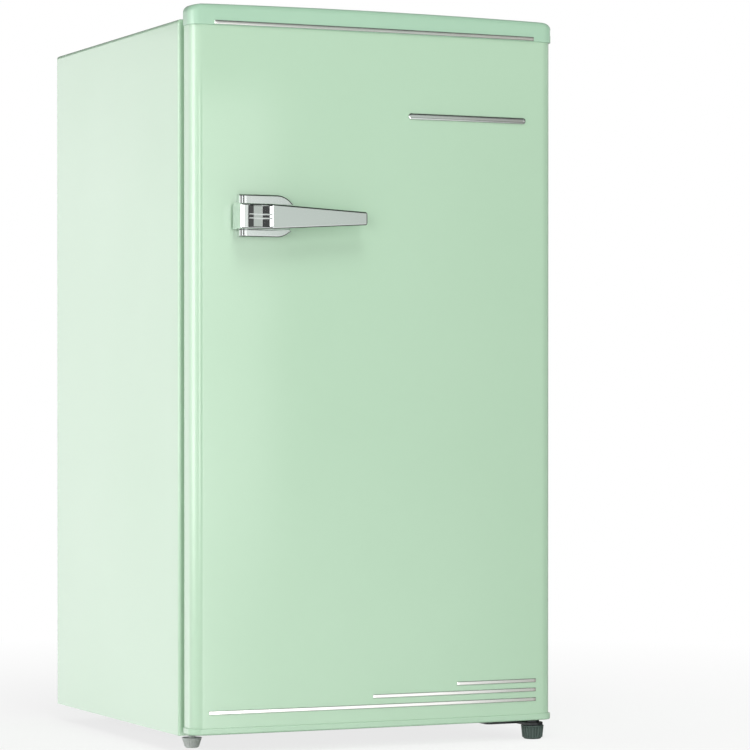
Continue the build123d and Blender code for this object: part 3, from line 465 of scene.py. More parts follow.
strips = {
    "edgeRound": 0.6 * mm,
    "edgeSteps": 4,
    "proud": 1.0 * mm,
    "sink": 0.3 * mm,
    # a rounded end: distance from it in edge radii, and the share of the full rise there
    "endRise": ((0, 0.35), (0.4, 0.8), (1, 1.0)),
    "plainStart": 4 * mm,
    "steps": 60,
    "stripeHeight": 4.2 * mm,
    "middleLift": 0.35 * mm,  # the middle stripe sits a little above half way
    "middleLeft": -6.7 * mm,
    "upperLeft": 98.7 * mm,
}


def stripSection(x, front, proud, low, high):
    # Outline of a strip cut across: flat face, two small round edges, tucked a little into the door
    y = bowedFront(front, x)
    back = y + strips["sink"]
    lower, upper = roundedFace(y - proud, low, high, min(strips["edgeRound"], proud), strips["edgeSteps"])
    return [(x, b, z) for b, z in [(back, low)] + lower + upper + [(back, high)]]


def addStrip(bm, front, x0, x1, z0, z1):
    ends = [(strips["edgeRound"] * away, rise) for away, rise in strips["endRise"]]
    start = strips["plainStart"]
    spots = [(x0 + away, rise) for away, rise in ends]
    spots += [(x, 1.0) for x in evenSteps(x0 + start, x1 - start, strips["steps"])]
    spots += [(x1 - away, rise) for away, rise in ends[::-1]]
    loft(bm, [stripSection(x, front, strips["proud"] * rise, z0, z1) for x, rise in spots], ends="flat")


def makeStrips():
    low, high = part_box("top_strip")
    bm = bmesh.new()
    addStrip(bm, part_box("door_top_cap")[0][1], low[0], high[0], low[2], high[2])
    dress(meshFromBmesh("topTrimStrip", bm), "door", "chrome", "top_strip", material=trimSilver)
    # Three stripes that end in line at the right and start in steps from the left
    low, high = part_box("bottom_stripes")
    height = strips["stripeHeight"]
    middle = (low[2] + high[2] - height) / 2 + strips["middleLift"]
    bm = bmesh.new()
    for left, z in ((low[0], low[2]), (strips["middleLeft"], middle), (strips["upperLeft"], high[2] - height)):
        addStrip(bm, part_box("door_skin")[0][1], left, high[0], z, z + height)
    dress(meshFromBmesh("bottomTrimStripes", bm), "door", "chrome", "bottom_stripes", material=trimSilver)


makeStrips()
print("trim strips made")


# Trees that repeat a shape or follow a path

def startTree(name, sockets):
    tree = bpy.data.node_groups.new(name, "GeometryNodeTree")
    tree.interface.new_socket("Geometry", in_out="INPUT", socket_type="NodeSocketGeometry")
    for label, kind in (*sockets, ("Material", "Material")):
        tree.interface.new_socket(label, in_out="INPUT", socket_type="NodeSocket" + kind)
    tree.interface.new_socket("Geometry", in_out="OUTPUT", socket_type="NodeSocketGeometry")
    return tree, addNode(tree, "NodeGroupInput").outputs


def endTree(tree, given, geometry):
    real = addNode(tree, "GeometryNodeRealizeInstances", links={"Geometry": geometry})
    painted = addNode(tree, "GeometryNodeSetMaterial",
                      links={"Geometry": real.outputs[0], "Material": given["Material"]})
    addNode(tree, "NodeGroupOutput", links={"Geometry": painted.outputs[0]})
    return tree


def rowTree():
    # Copies of one shape in a straight row
    tree, given = startTree("rowOfCopies", (("Count", "Int"), ("Step", "Vector")))
    points = addNode(tree, "GeometryNodePoints", links={"Count": given["Count"]})
    index = addNode(tree, "GeometryNodeInputIndex")
    place = addNode(tree, "ShaderNodeVectorMath", {"operation": "SCALE"},
                    {0: given["Step"], "Scale": index.outputs[0]})
    row = addNode(tree, "GeometryNodeSetPosition", links={"Geometry": points.outputs[0], "Position": place.outputs[0]})
    copies = addNode(tree, "GeometryNodeInstanceOnPoints",
                     links={"Points": row.outputs[0], "Instance": given["Geometry"]})
    return endTree(tree, given, copies.outputs[0])


def ringTree():
    # A round body with straight ribs set all round it
    tree, given = startTree("ribbedRing", (("Ribs", "Int"), ("Foot", "Vector"), ("Head", "Vector"),
                                           ("Rib Radius", "Float")))
    line = addNode(tree, "GeometryNodeCurvePrimitiveLine", links={"Start": given["Foot"], "End": given["Head"]})
    circle = addNode(tree, "GeometryNodeCurvePrimitiveCircle", {"Resolution": 8}, {"Radius": given["Rib Radius"]})
    rib = addNode(tree, "GeometryNodeCurveToMesh", {"Fill Caps": True},
                  {"Curve": line.outputs[0], "Profile Curve": circle.outputs[0]})
    points = addNode(tree, "GeometryNodePoints", links={"Count": given["Ribs"]})
    index = addNode(tree, "GeometryNodeInputIndex")
    share = addNode(tree, "ShaderNodeMath", {"operation": "DIVIDE"}, {0: index.outputs[0], 1: given["Ribs"]})
    angle = addNode(tree, "ShaderNodeMath", {"operation": "MULTIPLY", 1: 2 * pi}, {0: share.outputs[0]})
    turn = addNode(tree, "ShaderNodeCombineXYZ", links={"Z": angle.outputs[0]})
    ribs = addNode(tree, "GeometryNodeInstanceOnPoints",
                   links={"Points": points.outputs[0], "Instance": rib.outputs[0], "Rotation": turn.outputs[0]})
    whole = addNode(tree, "GeometryNodeJoinGeometry", links={0: given["Geometry"]})
    tree.links.new(ribs.outputs[0], whole.inputs[0])
    return endTree(tree, given, whole.outputs[0])


def pipeTree():
    # A tube along a line of corners, each bent to the same radius
    tree, given = startTree("bentPipe", (("Bend", "Float"), ("Radius", "Float")))
    path = addNode(tree, "GeometryNodeMeshToCurve", links={"Mesh": given["Geometry"]})
    bent = addNode(tree, "GeometryNodeFilletCurve", {"mode": "POLY", "Count": 8, "Limit Radius": True},
                   {"Curve": path.outputs[0], "Radius": given["Bend"]})
    circle = addNode(tree, "GeometryNodeCurvePrimitiveCircle", {"Resolution": 14}, {"Radius": given["Radius"]})
    tube = addNode(tree, "GeometryNodeCurveToMesh", {"Fill Caps": True},
                   {"Curve": bent.outputs[0], "Profile Curve": circle.outputs[0]})
    return endTree(tree, given, tube.outputs[0])


def placesTree():
    # One shape set on each given point
    tree, given = startTree("copiesOnPoints", (("Shape", "Object"),))
    points = addNode(tree, "GeometryNodeMeshToPoints", links={"Mesh": given["Geometry"]})
    shape = addNode(tree, "GeometryNodeObjectInfo", links={"Object": given["Shape"]})
    copies = addNode(tree, "GeometryNodeInstanceOnPoints",
                     links={"Points": points.outputs[0], "Instance": shape.outputs["Geometry"]})
    return endTree(tree, given, copies.outputs[0])


trees = {"row": rowTree(), "ring": ringTree(), "pipe": pipeTree(), "places": placesTree()}


def runTree(kind, base, name, values, sharpAngle):
    # Runs a tree on the base object and keeps the result as a plain mesh in its own object
    tree = trees[kind]
    work = base.modifiers.new(kind, "NODES")
    work.node_group = tree
    for socket in tree.interface.items_tree:
        if socket.in_out == "INPUT" and socket.name in values:
            work[socket.identifier] = values[socket.name]
    mesh = finalMesh(base)
    bpy.data.objects.remove(base)
    mesh.name = name
    shadeSmooth(mesh, sharpAngle)
    return linkObject(name, mesh)


def pointsObject(name, points, joined=False):
    mesh = bpy.data.meshes.new(name)
    edges = [(i, i + 1) for i in range(len(points) - 1)] if joined else []
    mesh.from_pydata([tuple(p) for p in points], edges, [])
    return linkObject(name, mesh)


def copyOnto(name, shape, places, slot, sharpAngle=40):
    copies = runTree("places", pointsObject(name + "Places", places), name,
                     {"Shape": shape, "Material": finishes[slot]}, sharpAngle)
    bpy.data.objects.remove(shape)
    return copies


def addLathe(bm, profile, centre, steps):
    # A turned shape from (radius, height) pairs in mm, closed at both ends
    turns = [2 * pi * i / steps for i in range(steps)]
    rings = []
    for r, height in profile:
        r = max(r, poleRadius)
        rings.append([Vector(centre) + Vector((r * cos(t), r * sin(t), height)) * mm for t in turns])
    loft(bm, rings, ends="flat")


def turnedPiece(name, profile, centre=(0, 0, 0), steps=32, sharpAngle=40):
    bm = bmesh.new()
    addLathe(bm, profile, centre, steps)
    return meshFromBmesh(name, bm, sharpAngle)


def joinAs(name, first, *others):
    bm = bmesh.new()
    for source in (first, *others):
        bm.from_mesh(source.data)
    bm.to_mesh(first.data)
    bm.free()
    for other in others:
        bpy.data.objects.remove(other)
    first.name = name
    return first


# Cabinet shell

shell = {
    "sheet": 1 * mm,
    "bend": 4 * mm,
    "bendSteps": 8,
    "fold": 3.5 * mm,
    "foldSteps": 6,
    "frontReturn": 22.8 * mm,
    "rearReturn": 12 * mm,
    "sideSteps": 6,
    "roofSteps": 8,
}


def makeCabinetShell():
    low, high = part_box("cabinet_wrap")
    half, top = high[0], high[2]
    bend, lip = shell["bend"], shell["frontReturn"]
    # Up the left side, over the roof and down the right one: places, and the way out from the sheet there
    left = [((-half, z), (-1, 0)) for z in evenSteps(low[2], top - lip, shell["sideSteps"])]
    left += [((-half + bend - bend * cos(t), top - bend + bend * sin(t)), (-cos(t), sin(t)))
             for t in quarterTurn(shell["bendSteps"])]
    roof = [((x, top), (0, 1)) for x in evenSteps(-half + lip, half - lip, shell["roofSteps"])]
    right = [((-x, z), (-nx, nz)) for (x, z), (nx, nz) in left[::-1]]
    path = left + roof + right

    def folded(inward, y):
        return [(x - nx * inward, y, z - nz * inward) for (x, z), (nx, nz) in path]

    def mouth(width, y):
        edge = half - width
        return [(max(-edge, min(edge, x)), y, min(top - width, z)) for (x, z), _ in path]

    fold = shell["fold"]
    turns = [(fold * (1 - sin(t)), fold * (1 - cos(t))) for t in quarterTurn(shell["foldSteps"])]
    rows = [mouth(lip, low[1])]
    rows += [folded(inward, low[1] + y) for inward, y in turns]
    rows += [folded(inward, high[1] - y) for inward, y in turns[::-1]]
    rows.append(mouth(shell["rearReturn"], high[1]))
    bm = bmesh.new()
    loft(bm, rows, closed=False)
    bmesh.ops.remove_doubles(bm, verts=bm.verts, dist=0.02 * mm)
    piece = meshFromBmesh("cabinetShell", bm, fixNormals=False)
    dress(foldSheet(piece, shell["sheet"]), "cabinet", "mint_paint", "cabinet_wrap")


makeCabinetShell()
print("cabinet shell made")


# Latch handle: a base with two ears, and the lever between them

handle = {
    "baseLeft": -171 * mm,
    "archX": -127 * mm,
    "archSteps": 24,
    "baseZ": 595.5 * mm,
    "baseHalf": 23.5 * mm,
    "baseSink": 0.5 * mm,
    "slotHalf": 14.4 * mm,
    "slotRound": 0.25 * mm,
    # the stepped left end of each ear: distance from its left end and how far it falls back there, in mm
    "endLine": ((0, 2.86), (1.0, 2.31), (2.4, 1.96), (3.7, 1.24), (5.1, 0.89), (6.7, 0)),
    "plainLeft": 8 * mm,
    "plainSteps": 10,
    "edgeRound": 1.8 * mm,
    "edgeSteps": 8,
    # where an ear runs out to a point its edge radius is only this, and grows by this share of the width
    "pointRound": 0.2 * mm,
    "pointGrowth": 0.7,
    "floorProud": 1.2 * mm,
    "floorSink": 2 * mm,
    "floorLap": 1 * mm,
    "floorReach": 18 * mm,
    "floorRound": 0.4 * mm,
    "leverZ": 594 * mm,
    "leverHalf": 14 * mm,
    "leverRound": 1.8 * mm,
    "leverSteps": 5,
    "leftRound": 3.2 * mm,
    "leftSteps": 8,
    "heel": 3.5 * mm,  # the left end, which reaches back into the base
    "gripBack": 50 * mm,  # the back of the thumb rest, before the cabinet's front plane
    "bladeLeft": -100 * mm,
    "bladeDepth": 10 * mm,
    "bladeTaper": 1 * mm,
    "bladeStart": 4 * mm,  # plain columns run from this far past the scoop
    "bladeEnd": 3 * mm,  # to this far before the tip
    "bladeSteps": 40,
    "tipLow": 7 * mm,
    "tipHigh": 8 * mm,
    "tipRound": 2.5 * mm,
    "tipSteps": 12,
    "tipFall": 2.5 * mm,
    "scoopLeft": -168.7 * mm,
    "scoopRight": -138.5 * mm,
    # the hollow cut lengthwise: distance from its left end and depth there, in mm
    "scoopLine": ((0, 0), (1.4, 0.6), (7.9, 4.0), (18.4, 4.55), (26.7, 2.5), (29.9, 0), (30.2, 0)),
    "scoopMargin": 2 * mm,
    "scoopSteps": 64,
    "scoopRim": 2.0 * mm,
    "scoopWall": 0.6 * mm,
    "scoopGrain": 72,
    "ribGap": 4.4 * mm,
    "ribHalf": 0.8 * mm,
    "ribDepth": 0.5 * mm,
    "knuckle": 3.2,  # mm
    "knuckleGap": 0.2 * mm,
    "crease": 0.02,  # mm; columns this close beside a bend keep it crisp
}


def fallAlong(line, place):
    for (x0, d0), (x1, d1) in zip(line, line[1:]):
        if x0 <= place < x1:
            return (d0 + (d1 - d0) * (place - x0) / (x1 - x0)) * mm
    return 0.0


def creases(start, line):
    return [start + (x + side * handle["crease"]) * mm for x, _ in line for side in (-1, 1)]


def roundFall(radius, past):
    # How far a quarter round has dropped, this far past its start
    return radius - sqrt(max(0.0, radius ** 2 - past ** 2)) if past > 0 else 0.0


def earOutline(upper):
    # One ear seen from the front, out along its curved edge and back along its straight one,
    # as (x, z, outward x, outward z, edge radius)
    sign = 1 if upper else -1
    left, radius, middle, archX = handle["baseLeft"], handle["baseHalf"], handle["baseZ"], handle["archX"]
    inner = handle["leverZ"] + sign * handle["slotHalf"]
    reach = abs(inner - middle)
    turnEnd = atan2(reach, sqrt(radius ** 2 - reach ** 2))
    edge = handle["edgeRound"]
    plain = evenSteps(left + handle["plainLeft"], archX, handle["plainSteps"])
    outer = [(x, middle + sign * radius, 0, sign, edge)
             for x in [left] + creases(left, handle["endLine"])[1:] + plain]
    for t in evenSteps(pi / 2, turnEnd, handle["archSteps"])[1:]:
        z = middle + sign * radius * sin(t)
        thin = handle["pointRound"] + handle["pointGrowth"] * abs(z - inner)
        outer.append((archX + radius * cos(t), z, cos(t), sign * sin(t), min(edge, thin)))
    return outer + [(x, inner, 0, -sign, handle["slotRound"]) for x, *_ in outer[::-1]]


def addEar(bm, upper, front, back):
    outline = earOutline(upper)

    def stepped(x, y, z):
        return x, min(back, y + fallAlong(handle["endLine"], (x - handle["baseLeft"]) / mm)), z

    rings = [[(x, back, z) for x, z, *_ in outline]]
    for t in quarterTurn(handle["edgeSteps"]):
        rings.append([stepped(x - nx * r * (1 - cos(t)), front + r * (1 - sin(t)), z - nz * r * (1 - cos(t)))
                      for x, z, nx, nz, r in outline])
    loft(bm, rings, ends="paired")
    bmesh.ops.remove_doubles(bm, verts=bm.verts, dist=0.005 * mm)


def makeHandleBase():
    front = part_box("handle_base")[0][1]
    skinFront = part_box("door_skin")[0][1]
    parts = []
    for upper in (True, False):
        bm = bmesh.new()
        addEar(bm, upper, front, bowedFront(skinFront, handle["archX"]) + handle["baseSink"])
        parts.append(meshFromBmesh("handleEar", bm))
    # The floor of the slot between the ears
    lap = handle["floorLap"]
    half = handle["slotHalf"] + lap
    bm = bmesh.new()
    addBlock(bm, (handle["baseLeft"] + lap, skinFront - handle["floorProud"], handle["leverZ"] - half),
             (handle["archX"] + handle["floorReach"], skinFront + handle["floorSink"], handle["leverZ"] + half),
             handle["floorRound"])
    parts.append(meshFromBmesh("handleFloor", bm))
    dress(joinAs("handleBase", *parts), "door", "chrome", "handle_base")


def leverShape(x):
    # Low and high edge of the lever seen from the front, and its front and back, at one place along it
    low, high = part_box("handle_lever")
    half, neck, bladeLeft = handle["leverHalf"], handle["scoopRight"], handle["bladeLeft"]
    share = max(0.0, (x - neck) / (high[0] - neck))
    pull = roundFall(handle["tipRound"], x - high[0] + handle["tipRound"])
    bottom = handle["leverZ"] - half + share * (half - handle["tipLow"]) + pull
    top = handle["leverZ"] + half - share * (half - handle["tipHigh"]) - pull
    front = low[1] + share * handle["tipFall"]
    front += roundFall(handle["leftRound"], handle["leftRound"] - (x - low[0]))
    front += roundFall(handle["leverRound"], handle["leverRound"] - (high[0] - x))
    grip = frontY - handle["gripBack"]
    blade = low[1] + handle["bladeDepth"]
    if x < low[0] + handle["heel"]:
        back = high[1]
    elif x < neck:
        back = grip
    elif x < bladeLeft:
        back = grip + (x - neck) / (bladeLeft - neck) * (blade - grip)
    else:
        back = blade - (x - bladeLeft) / (high[0] - bladeLeft) * handle["bladeTaper"]
    return bottom, top, front, back


def scoopDepth(x, z):
    # The hollow thumb rest: a flat floor between two sloping walls, a thin rim above and below, two fine ribs across
    trough = fallAlong(handle["scoopLine"], (x - handle["scoopLeft"]) / mm)
    offset = abs(z - handle["leverZ"])
    inside = handle["leverHalf"] - handle["scoopRim"] - offset
    trough *= max(0.0, min(1.0, inside / handle["scoopWall"]))
    if abs(offset - handle["ribGap"] / 2) < handle["ribHalf"]:
        trough = min(trough, handle["ribDepth"])
    return trough


def leverColumns(low, high):
    # Places along the lever, closer together where its shape turns
    neck, margin = handle["scoopRight"], handle["scoopMargin"]
    xs = [low + handle["leftRound"] * (1 - cos(t)) for t in quarterTurn(handle["leftSteps"])]
    xs += [low + handle["heel"] + side * handle["crease"] / 2 * mm for side in (-1, 1)]
    xs += evenSteps(handle["scoopLeft"] - margin, neck + margin, handle["scoopSteps"])
    xs += creases(handle["scoopLeft"], handle["scoopLine"])
    xs += evenSteps(neck + handle["bladeStart"], high - handle["bladeEnd"], handle["bladeSteps"])
    xs += [high - handle["tipRound"] * (1 - sin(t)) for t in quarterTurn(handle["tipSteps"])]
    return sorted(set(xs))


def makeHandleLever():
    low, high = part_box("handle_lever")
    rings = []
    for x in leverColumns(low[0], high[0]):
        bottom, top, front, back = leverShape(x)
        r = min(handle["leverRound"], (top - bottom) / 3, (back - front) / 3)
        lower, upper = roundedFace(front, bottom, top, r, handle["leverSteps"])
        face = [(front + scoopDepth(x, z), z) for z in evenSteps(bottom + r, top - r, handle["scoopGrain"])[1:-1]]
        rings.append([(x, y, z) for y, z in [(back, bottom)] + lower + face + upper + [(back, top)]])
    bm = bmesh.new()
    loft(bm, rings, ends="flat")
    # Knuckle round the pin, behind the thumb rest
    pinLow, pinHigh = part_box("handle_pin")
    reach = (handle["leverHalf"] - handle["knuckleGap"]) / mm
    addLathe(bm, [(handle["knuckle"], -reach), (handle["knuckle"], reach)],
             ((pinLow[0] + pinHigh[0]) / 2, (pinLow[1] + pinHigh[1]) / 2, handle["leverZ"]), steps=24)
    dress(meshFromBmesh("handleLever", bm, sharpAngle=40), "handle_lever", "chrome", "handle_lever")


makeHandleBase()
makeHandleLever()
print("handle made")


# Plain bright bar on the door

bar = {
    "steps": 40,
    "endSteps": 16,
    # its edge from the door to the face: inset from the outline and height over the door, in mm
    "edge": ((0, -0.3), (0, 0.6), (0.25, 1.1), (0.9, 1.4), (1.9, 1.4), (2.2, 1.0)),
}


def makeBar():
    low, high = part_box("badge_bar")
    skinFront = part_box("door_skin")[0][1]
    z = (low[2] + high[2]) / 2
    half = (high[2] - low[2]) / 2
    x0, x1 = low[0] + half, high[0] - half
    turns = evenSteps(0, pi, bar["endSteps"])
    along = evenSteps(x0, x1, bar["steps"])[1:-1]
    rings = []
    for inset, proud in bar["edge"]:
        r = half - inset * mm
        spots = [(x1 + r * sin(t), z + r * cos(t)) for t in turns] + [(x, z - r) for x in along[::-1]]
        spots += [(x0 - r * sin(t), z - r * cos(t)) for t in turns] + [(x, z + r) for x in along]
        rings.append([(x, bowedFront(skinFront, x) - proud * mm, height) for x, height in spots])
    bm = bmesh.new()
    loft(bm, rings, ends="flat")
    dress(meshFromBmesh("badgeBar", bm), "door", "chrome", "badge_bar")


makeBar()
print("bar made")


# Feet

feet = {
    # profile and the two ends of a rib as (radius, height), in mm
    # the left foot's finish is its grey painted pale, as painted light
    "foot_left": {
        "slot": "pale_grey_plastic", "ribs": 22, "rib": ((7.75, 2.0), (10.1, 9.8)), "ribRadius": 0.75, "stud": 4,
        "profile": ((0, 0), (6.4, 0), (7.4, 0.5), (8.0, 1.6), (10.2, 10.0), (11.2, 10.2), (11.2, 11.3), (9.0, 11.5),
                    (0, 11.5))},
    # the right foot's finish is the same grey painted slate, as painted shade
    "foot_right": {
        "slot": "slate_plastic", "ribs": 22, "rib": ((10.6, 2.0), (11.9, 14.0)), "ribRadius": 1.15, "stud": 2.5,
        "profile": ((0, 0), (9.0, 0), (10.0, 0.5), (10.6, 1.8), (11.6, 14.2), (13.1, 14.5), (13.1, 15.6),
                    (12.4, 15.9), (11.0, 15.6), (5.6, 15.4), (5.4, 5.2), (0, 5.2))},
}
# the stud's thread, drawn as a stack of shallow grooves: (share of the pitch, groove depth) up one turn, in mm
thread = {"pitch": 1.25, "turn": ((0.2, 0), (0.5, 0.35), (0.8, 0)), "root": 0.3, "chamfer": 0.5}


def makeFoot(node, slot, ribs, rib, ribRadius, stud, profile):
    low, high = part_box(node)
    foot, head = ((r * mm, 0, height * mm) for r, height in rib)
    knob = runTree("ring", turnedPiece(node + "Body", profile, steps=64), node + "Knob", {
        "Ribs": ribs, "Foot": foot, "Head": head, "Rib Radius": ribRadius * mm, "Material": finishes[slot]},
        sharpAngle=40)
    start, end, pitch = profile[-1][1], high[2] / mm, thread["pitch"]
    grooves = [(stud - depth, start + (i + share) * pitch)
               for i in range(int((end - start) / pitch)) for share, depth in thread["turn"]]
    grooves = [(stud, start - thread["root"])] + grooves + [(stud - thread["chamfer"], end)]
    knob = joinAs(node + "Knob", knob, turnedPiece(node + "Stud", grooves, steps=24, sharpAngle=20))
    knob.data.transform(Matrix.Translation(((low[0] + high[0]) / 2, (low[1] + high[1]) / 2, 0)))
    dress(knob, node, slot, node)


for node, form in feet.items():
    makeFoot(node, **form)
print("feet made")


# Door seal: a bellows strip mitred at the corners, with its soft lip towards the cabinet

seal = {
    "width": 14,
    # the strip cut across: distance from its inner edge, and place before the cabinet's front plane, in mm
    "section": (
        (0.0, -8.9), (14.0, -8.9), (14.0, -7.7), (10.5, -7.3), (9.8, -6.7), (11.6, -6.0), (12.0, -5.5), (11.2, -5.0),
        (12.6, -4.4), (13.0, -3.2), (12.8, -1.4), (12.0, -0.6), (10.5, -0.4), (3.5, -0.4), (2.0, -0.6), (1.2, -1.4),
        (1.0, -3.2), (1.4, -4.4), (2.8, -5.0), (2.0, -5.5), (2.4, -6.0), (4.2, -6.7), (3.5, -7.3), (0.0, -7.7)),
}


def makeSeal():
    low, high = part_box("door_gasket")
    rings = []
    for x, z in ((-1, -1), (1, -1), (1, 1), (-1, 1)):
        ring = []
        for out, y in seal["section"]:
            back = (seal["width"] - out) * mm
            spotX = high[0] - back if x > 0 else low[0] + back
            spotZ = high[2] - back if z > 0 else low[2] + back
            ring.append((spotX, frontY + y * mm, spotZ))
        rings.append(ring)
    bm = bmesh.new()
    loft(bm, rings + [rings[0]])
    bmesh.ops.remove_doubles(bm, verts=bm.verts, dist=0.01 * mm)
    dress(meshFromBmesh("doorSeal", bm, sharpAngle=30), "door", "gasket_rubber", "door_gasket")


makeSeal()
print("door seal made")


# Rear: condenser, pipes and compressor, in millimetres

condenser = {
    "plane": 405, "runs": 11, "pitch": 54, "lowest": 230, "runHalf": 176, "riser": 198, "tube": 2.4, "bend": 26,
    "wires": 27, "wirePitch": 11, "wire": 0.8, "wireGap": 0.05, "wireReach": 8, "wireTip": 0.4, "wireTipShare": 0.6,
    "drierTop": 148, "drierBottom": 88,
    # the drier from its lower end up and from its upper end down: radius and distance from that end
    "drierFoot": ((1.4, 0), (1.8, 2), (3, 4), (6, 7), (8, 11), (8, 20), (7.6, 20.6), (7.6, 21.6), (8, 22.2)),
    "drierHead": ((3.0, 0), (3.2, 2), (4, 5), (6.2, 8), (8, 13)),
}
compressor = {
    "x": 60, "y": 335, "radius": 60, "low": 34.3, "high": 148, "footRound": 20, "footSteps": 8,
    "domeRound": 40, "domeSteps": 14,
    # the weld seam: radius beyond the pot and height over the seam's lower edge
    "seamZ": 84, "seam": ((0, -0.6), (1.5, 0), (2.8, 1), (3, 2), (2.8, 3), (1.5, 4), (0, 4.6)),
    # ports: place from the pot's middle, and height over the floor
    "outlet": (56, 10, 112), "inlet": (-54, 21, 80), "process": (20, 52, 100),
    "mountX": 82, "mountY": 42, "carrier": 21.3,
    "plate": 3, "plateX": 13, "plateY": 12, "plateCorner": 12, "plateRound": 0.7,
    "grommet": ((3.1, 0), (10.4, 0), (11, 0.6), (11, 2.4), (10.4, 3), (9, 3.2), (8.6, 5), (9, 6.8), (10.4, 7),
                (11, 7.6), (11, 9.4), (10.4, 10), (3.1, 10)),
    "bolt": 3.0, "boltRoot": 2.5, "boltTip": 2.2, "boltRise": 11,
    "boltTurns": 20, "boltTurnsToPlate": 14, "boltCrest": 0.3, "boltDip": 0.8,
    "nut": 6, "nutRings": ((0.94, 0), (1, 0.5), (1, 4.4), (0.92, 5)),
}
pipes = {
    "entryY": 388,  # where capillary and suction line go into the cabinet
    "capillary": {"bend": 7, "radius": 1.3, "x": -150, "low": 60, "high": 196},
    "suction": {"bend": 9, "radius": 3, "x": -70, "high": 202},
    "process": {"bend": 8, "radius": 2.4, "x": 24, "before": 8, "high": 142},
}


def spot(x, y, z):
    # Millimetres from the middle, from the cabinet's front plane and from the floor, as a place in the frame
    return Vector((x * mm, frontY + y * mm, z * mm))


def makePipe(name, corners, bend, radius, slot, *nodes):
    path = pointsObject(name + "Path", [spot(*c) for c in corners], joined=True)
    pipe = runTree("pipe", path, name, {"Bend": bend * mm, "Radius": radius * mm, "Material": finishes[slot]},
                   sharpAngle=60)
    dress(pipe, "cabinet", slot, *nodes)


def portPlace(port):
    dx, dy, z = compressor[port]
    return compressor["x"] + dx, compressor["y"] + dy, z


def condenserCorners():
    plane, riser = condenser["plane"], condenser["riser"]
    x, y, z = portPlace("outlet")
    corners = [(x, y, z), (riser, y, z), (riser, plane, z)]
    side = 1
    last = condenser["runs"] - 1
    for i in range(condenser["runs"]):
        z = condenser["lowest"] + condenser["pitch"] * (last - i)
        corners.append((riser if i == 0 else side * condenser["runHalf"], plane, z))
        corners.append((-riser if i == last else -side * condenser["runHalf"], plane, z))
        side = -side
    return corners + [(-riser, plane, condenser["drierTop"])]


def makeCondenserWires():
    reach, radius, tip = condenser["wireReach"], condenser["wire"], condenser["wireTip"]
    length = condenser["pitch"] * (condenser["runs"] - 1) + 2 * reach
    thin = radius * condenser["wireTipShare"]
    firstX = -(condenser["wires"] - 1) / 2 * condenser["wirePitch"]
    sheets = []
    for side in (-1, 1):
        plane = condenser["plane"] + side * (condenser["tube"] + radius + condenser["wireGap"])
        wire = turnedPiece("wire", [(thin, 0), (radius, tip), (radius, length - tip), (thin, length)],
                           spot(firstX, plane, condenser["lowest"] - reach), steps=8, sharpAngle=crispAngle)
        sheets.append(runTree("row", wire, "wireSheet", {
            "Count": condenser["wires"], "Step": (condenser["wirePitch"] * mm, 0, 0),
            "Material": finishes["black_paint"]}, sharpAngle=60))
    dress(joinAs("condenserWires", *sheets), "cabinet", "black_paint", "condenser_wires")


def makeDrier():
    profile = [(r, condenser["drierBottom"] + height) for r, height in condenser["drierFoot"]]
    profile += [(r, condenser["drierTop"] - depth) for r, depth in condenser["drierHead"][::-1]]
    drier = turnedPiece("filterDrier", profile, spot(-condenser["riser"], condenser["plane"], 0))
    dress(drier, "cabinet", "copper_pipe", "filter_drier")


def makeCompressor():
    x, y, radius = compressor["x"], compressor["y"], compressor["radius"]
    low, high = compressor["low"], compressor["high"]
    foot, dome = compressor["footRound"], compressor["domeRound"]
    profile = [(0, low)]
    profile += [(radius - foot + foot * sin(t), low + foot - foot * cos(t))
                for t in quarterTurn(compressor["footSteps"])]
    profile += [(radius + out, compressor["seamZ"] + rise) for out, rise in compressor["seam"]]
    profile += [(radius - dome + dome * cos(t), high - dome + dome * sin(t))
                for t in quarterTurn(compressor["domeSteps"])]
    profile.append((0, high))
    pot = turnedPiece("compressorPot", profile, spot(x, y, 0), steps=72)
    # The plate under it reaches out to the four mounts
    reachX, reachY = compressor["mountX"] + compressor["plateX"], compressor["mountY"] + compressor["plateY"]
    bm = bmesh.new()
    made = addBlock(bm, spot(x - reachX, y - reachY, low - compressor["plate"]), spot(x + reachX, y + reachY, low))
    uprights = [e for e in edgesOf(made) if abs(e.verts[0].co.z - e.verts[1].co.z) > 1 * mm]
    roundEdges(bm, uprights, compressor["plateCorner"] * mm, segments=8)
    plate = bm.copy()  # numbered afresh, so the second rounding gives the same order every run
    bm.free()
    rims = [e for e in plate.edges if e.calc_face_angle(0) > radians(crispAngle)]
    roundEdges(plate, rims, compressor["plateRound"] * mm)
    whole = joinAs("compressorShell", pot, meshFromBmesh("compressorPlate", plate))
    dress(whole, "cabinet", "black_paint", "compressor_shell")


def makeMounts():
    places = [spot(compressor["x"] + a * compressor["mountX"], compressor["y"] + b * compressor["mountY"],
                   compressor["carrier"]) for a in (-1, 1) for b in (-1, 1)]
    pads = copyOnto("compressorGrommets", turnedPiece("grommet", compressor["grommet"]), places, "black_rubber")
    dress(pads, "cabinet", "black_rubber", "compressor_grommets")
    lift = compressor["low"] - compressor["carrier"]
    crest, root = compressor["bolt"], compressor["boltRoot"]
    profile = [(root, 0)]
    for i in range(compressor["boltTurns"]):
        z = lift * i / compressor["boltTurnsToPlate"]
        profile += [(crest, z + compressor["boltCrest"]), (root, z + compressor["boltDip"])]
    profile.append((compressor["boltTip"], lift + compressor["boltRise"]))
    bm = bmesh.new()
    addLathe(bm, profile, (0, 0, 0), steps=20)
    corners = [(compressor["nut"] * mm * cos(i * pi / 3), compressor["nut"] * mm * sin(i * pi / 3)) for i in range(6)]
    loft(bm, [[(x * share, y * share, (lift + height) * mm) for x, y in corners]
              for share, height in compressor["nutRings"]], ends="flat")
    bolts = copyOnto("compressorBolts", meshFromBmesh("bolt", bm, sharpAngle=25), places, "bare_steel", sharpAngle=25)
    dress(bolts, "cabinet", "bare_steel", "compressor_bolts")


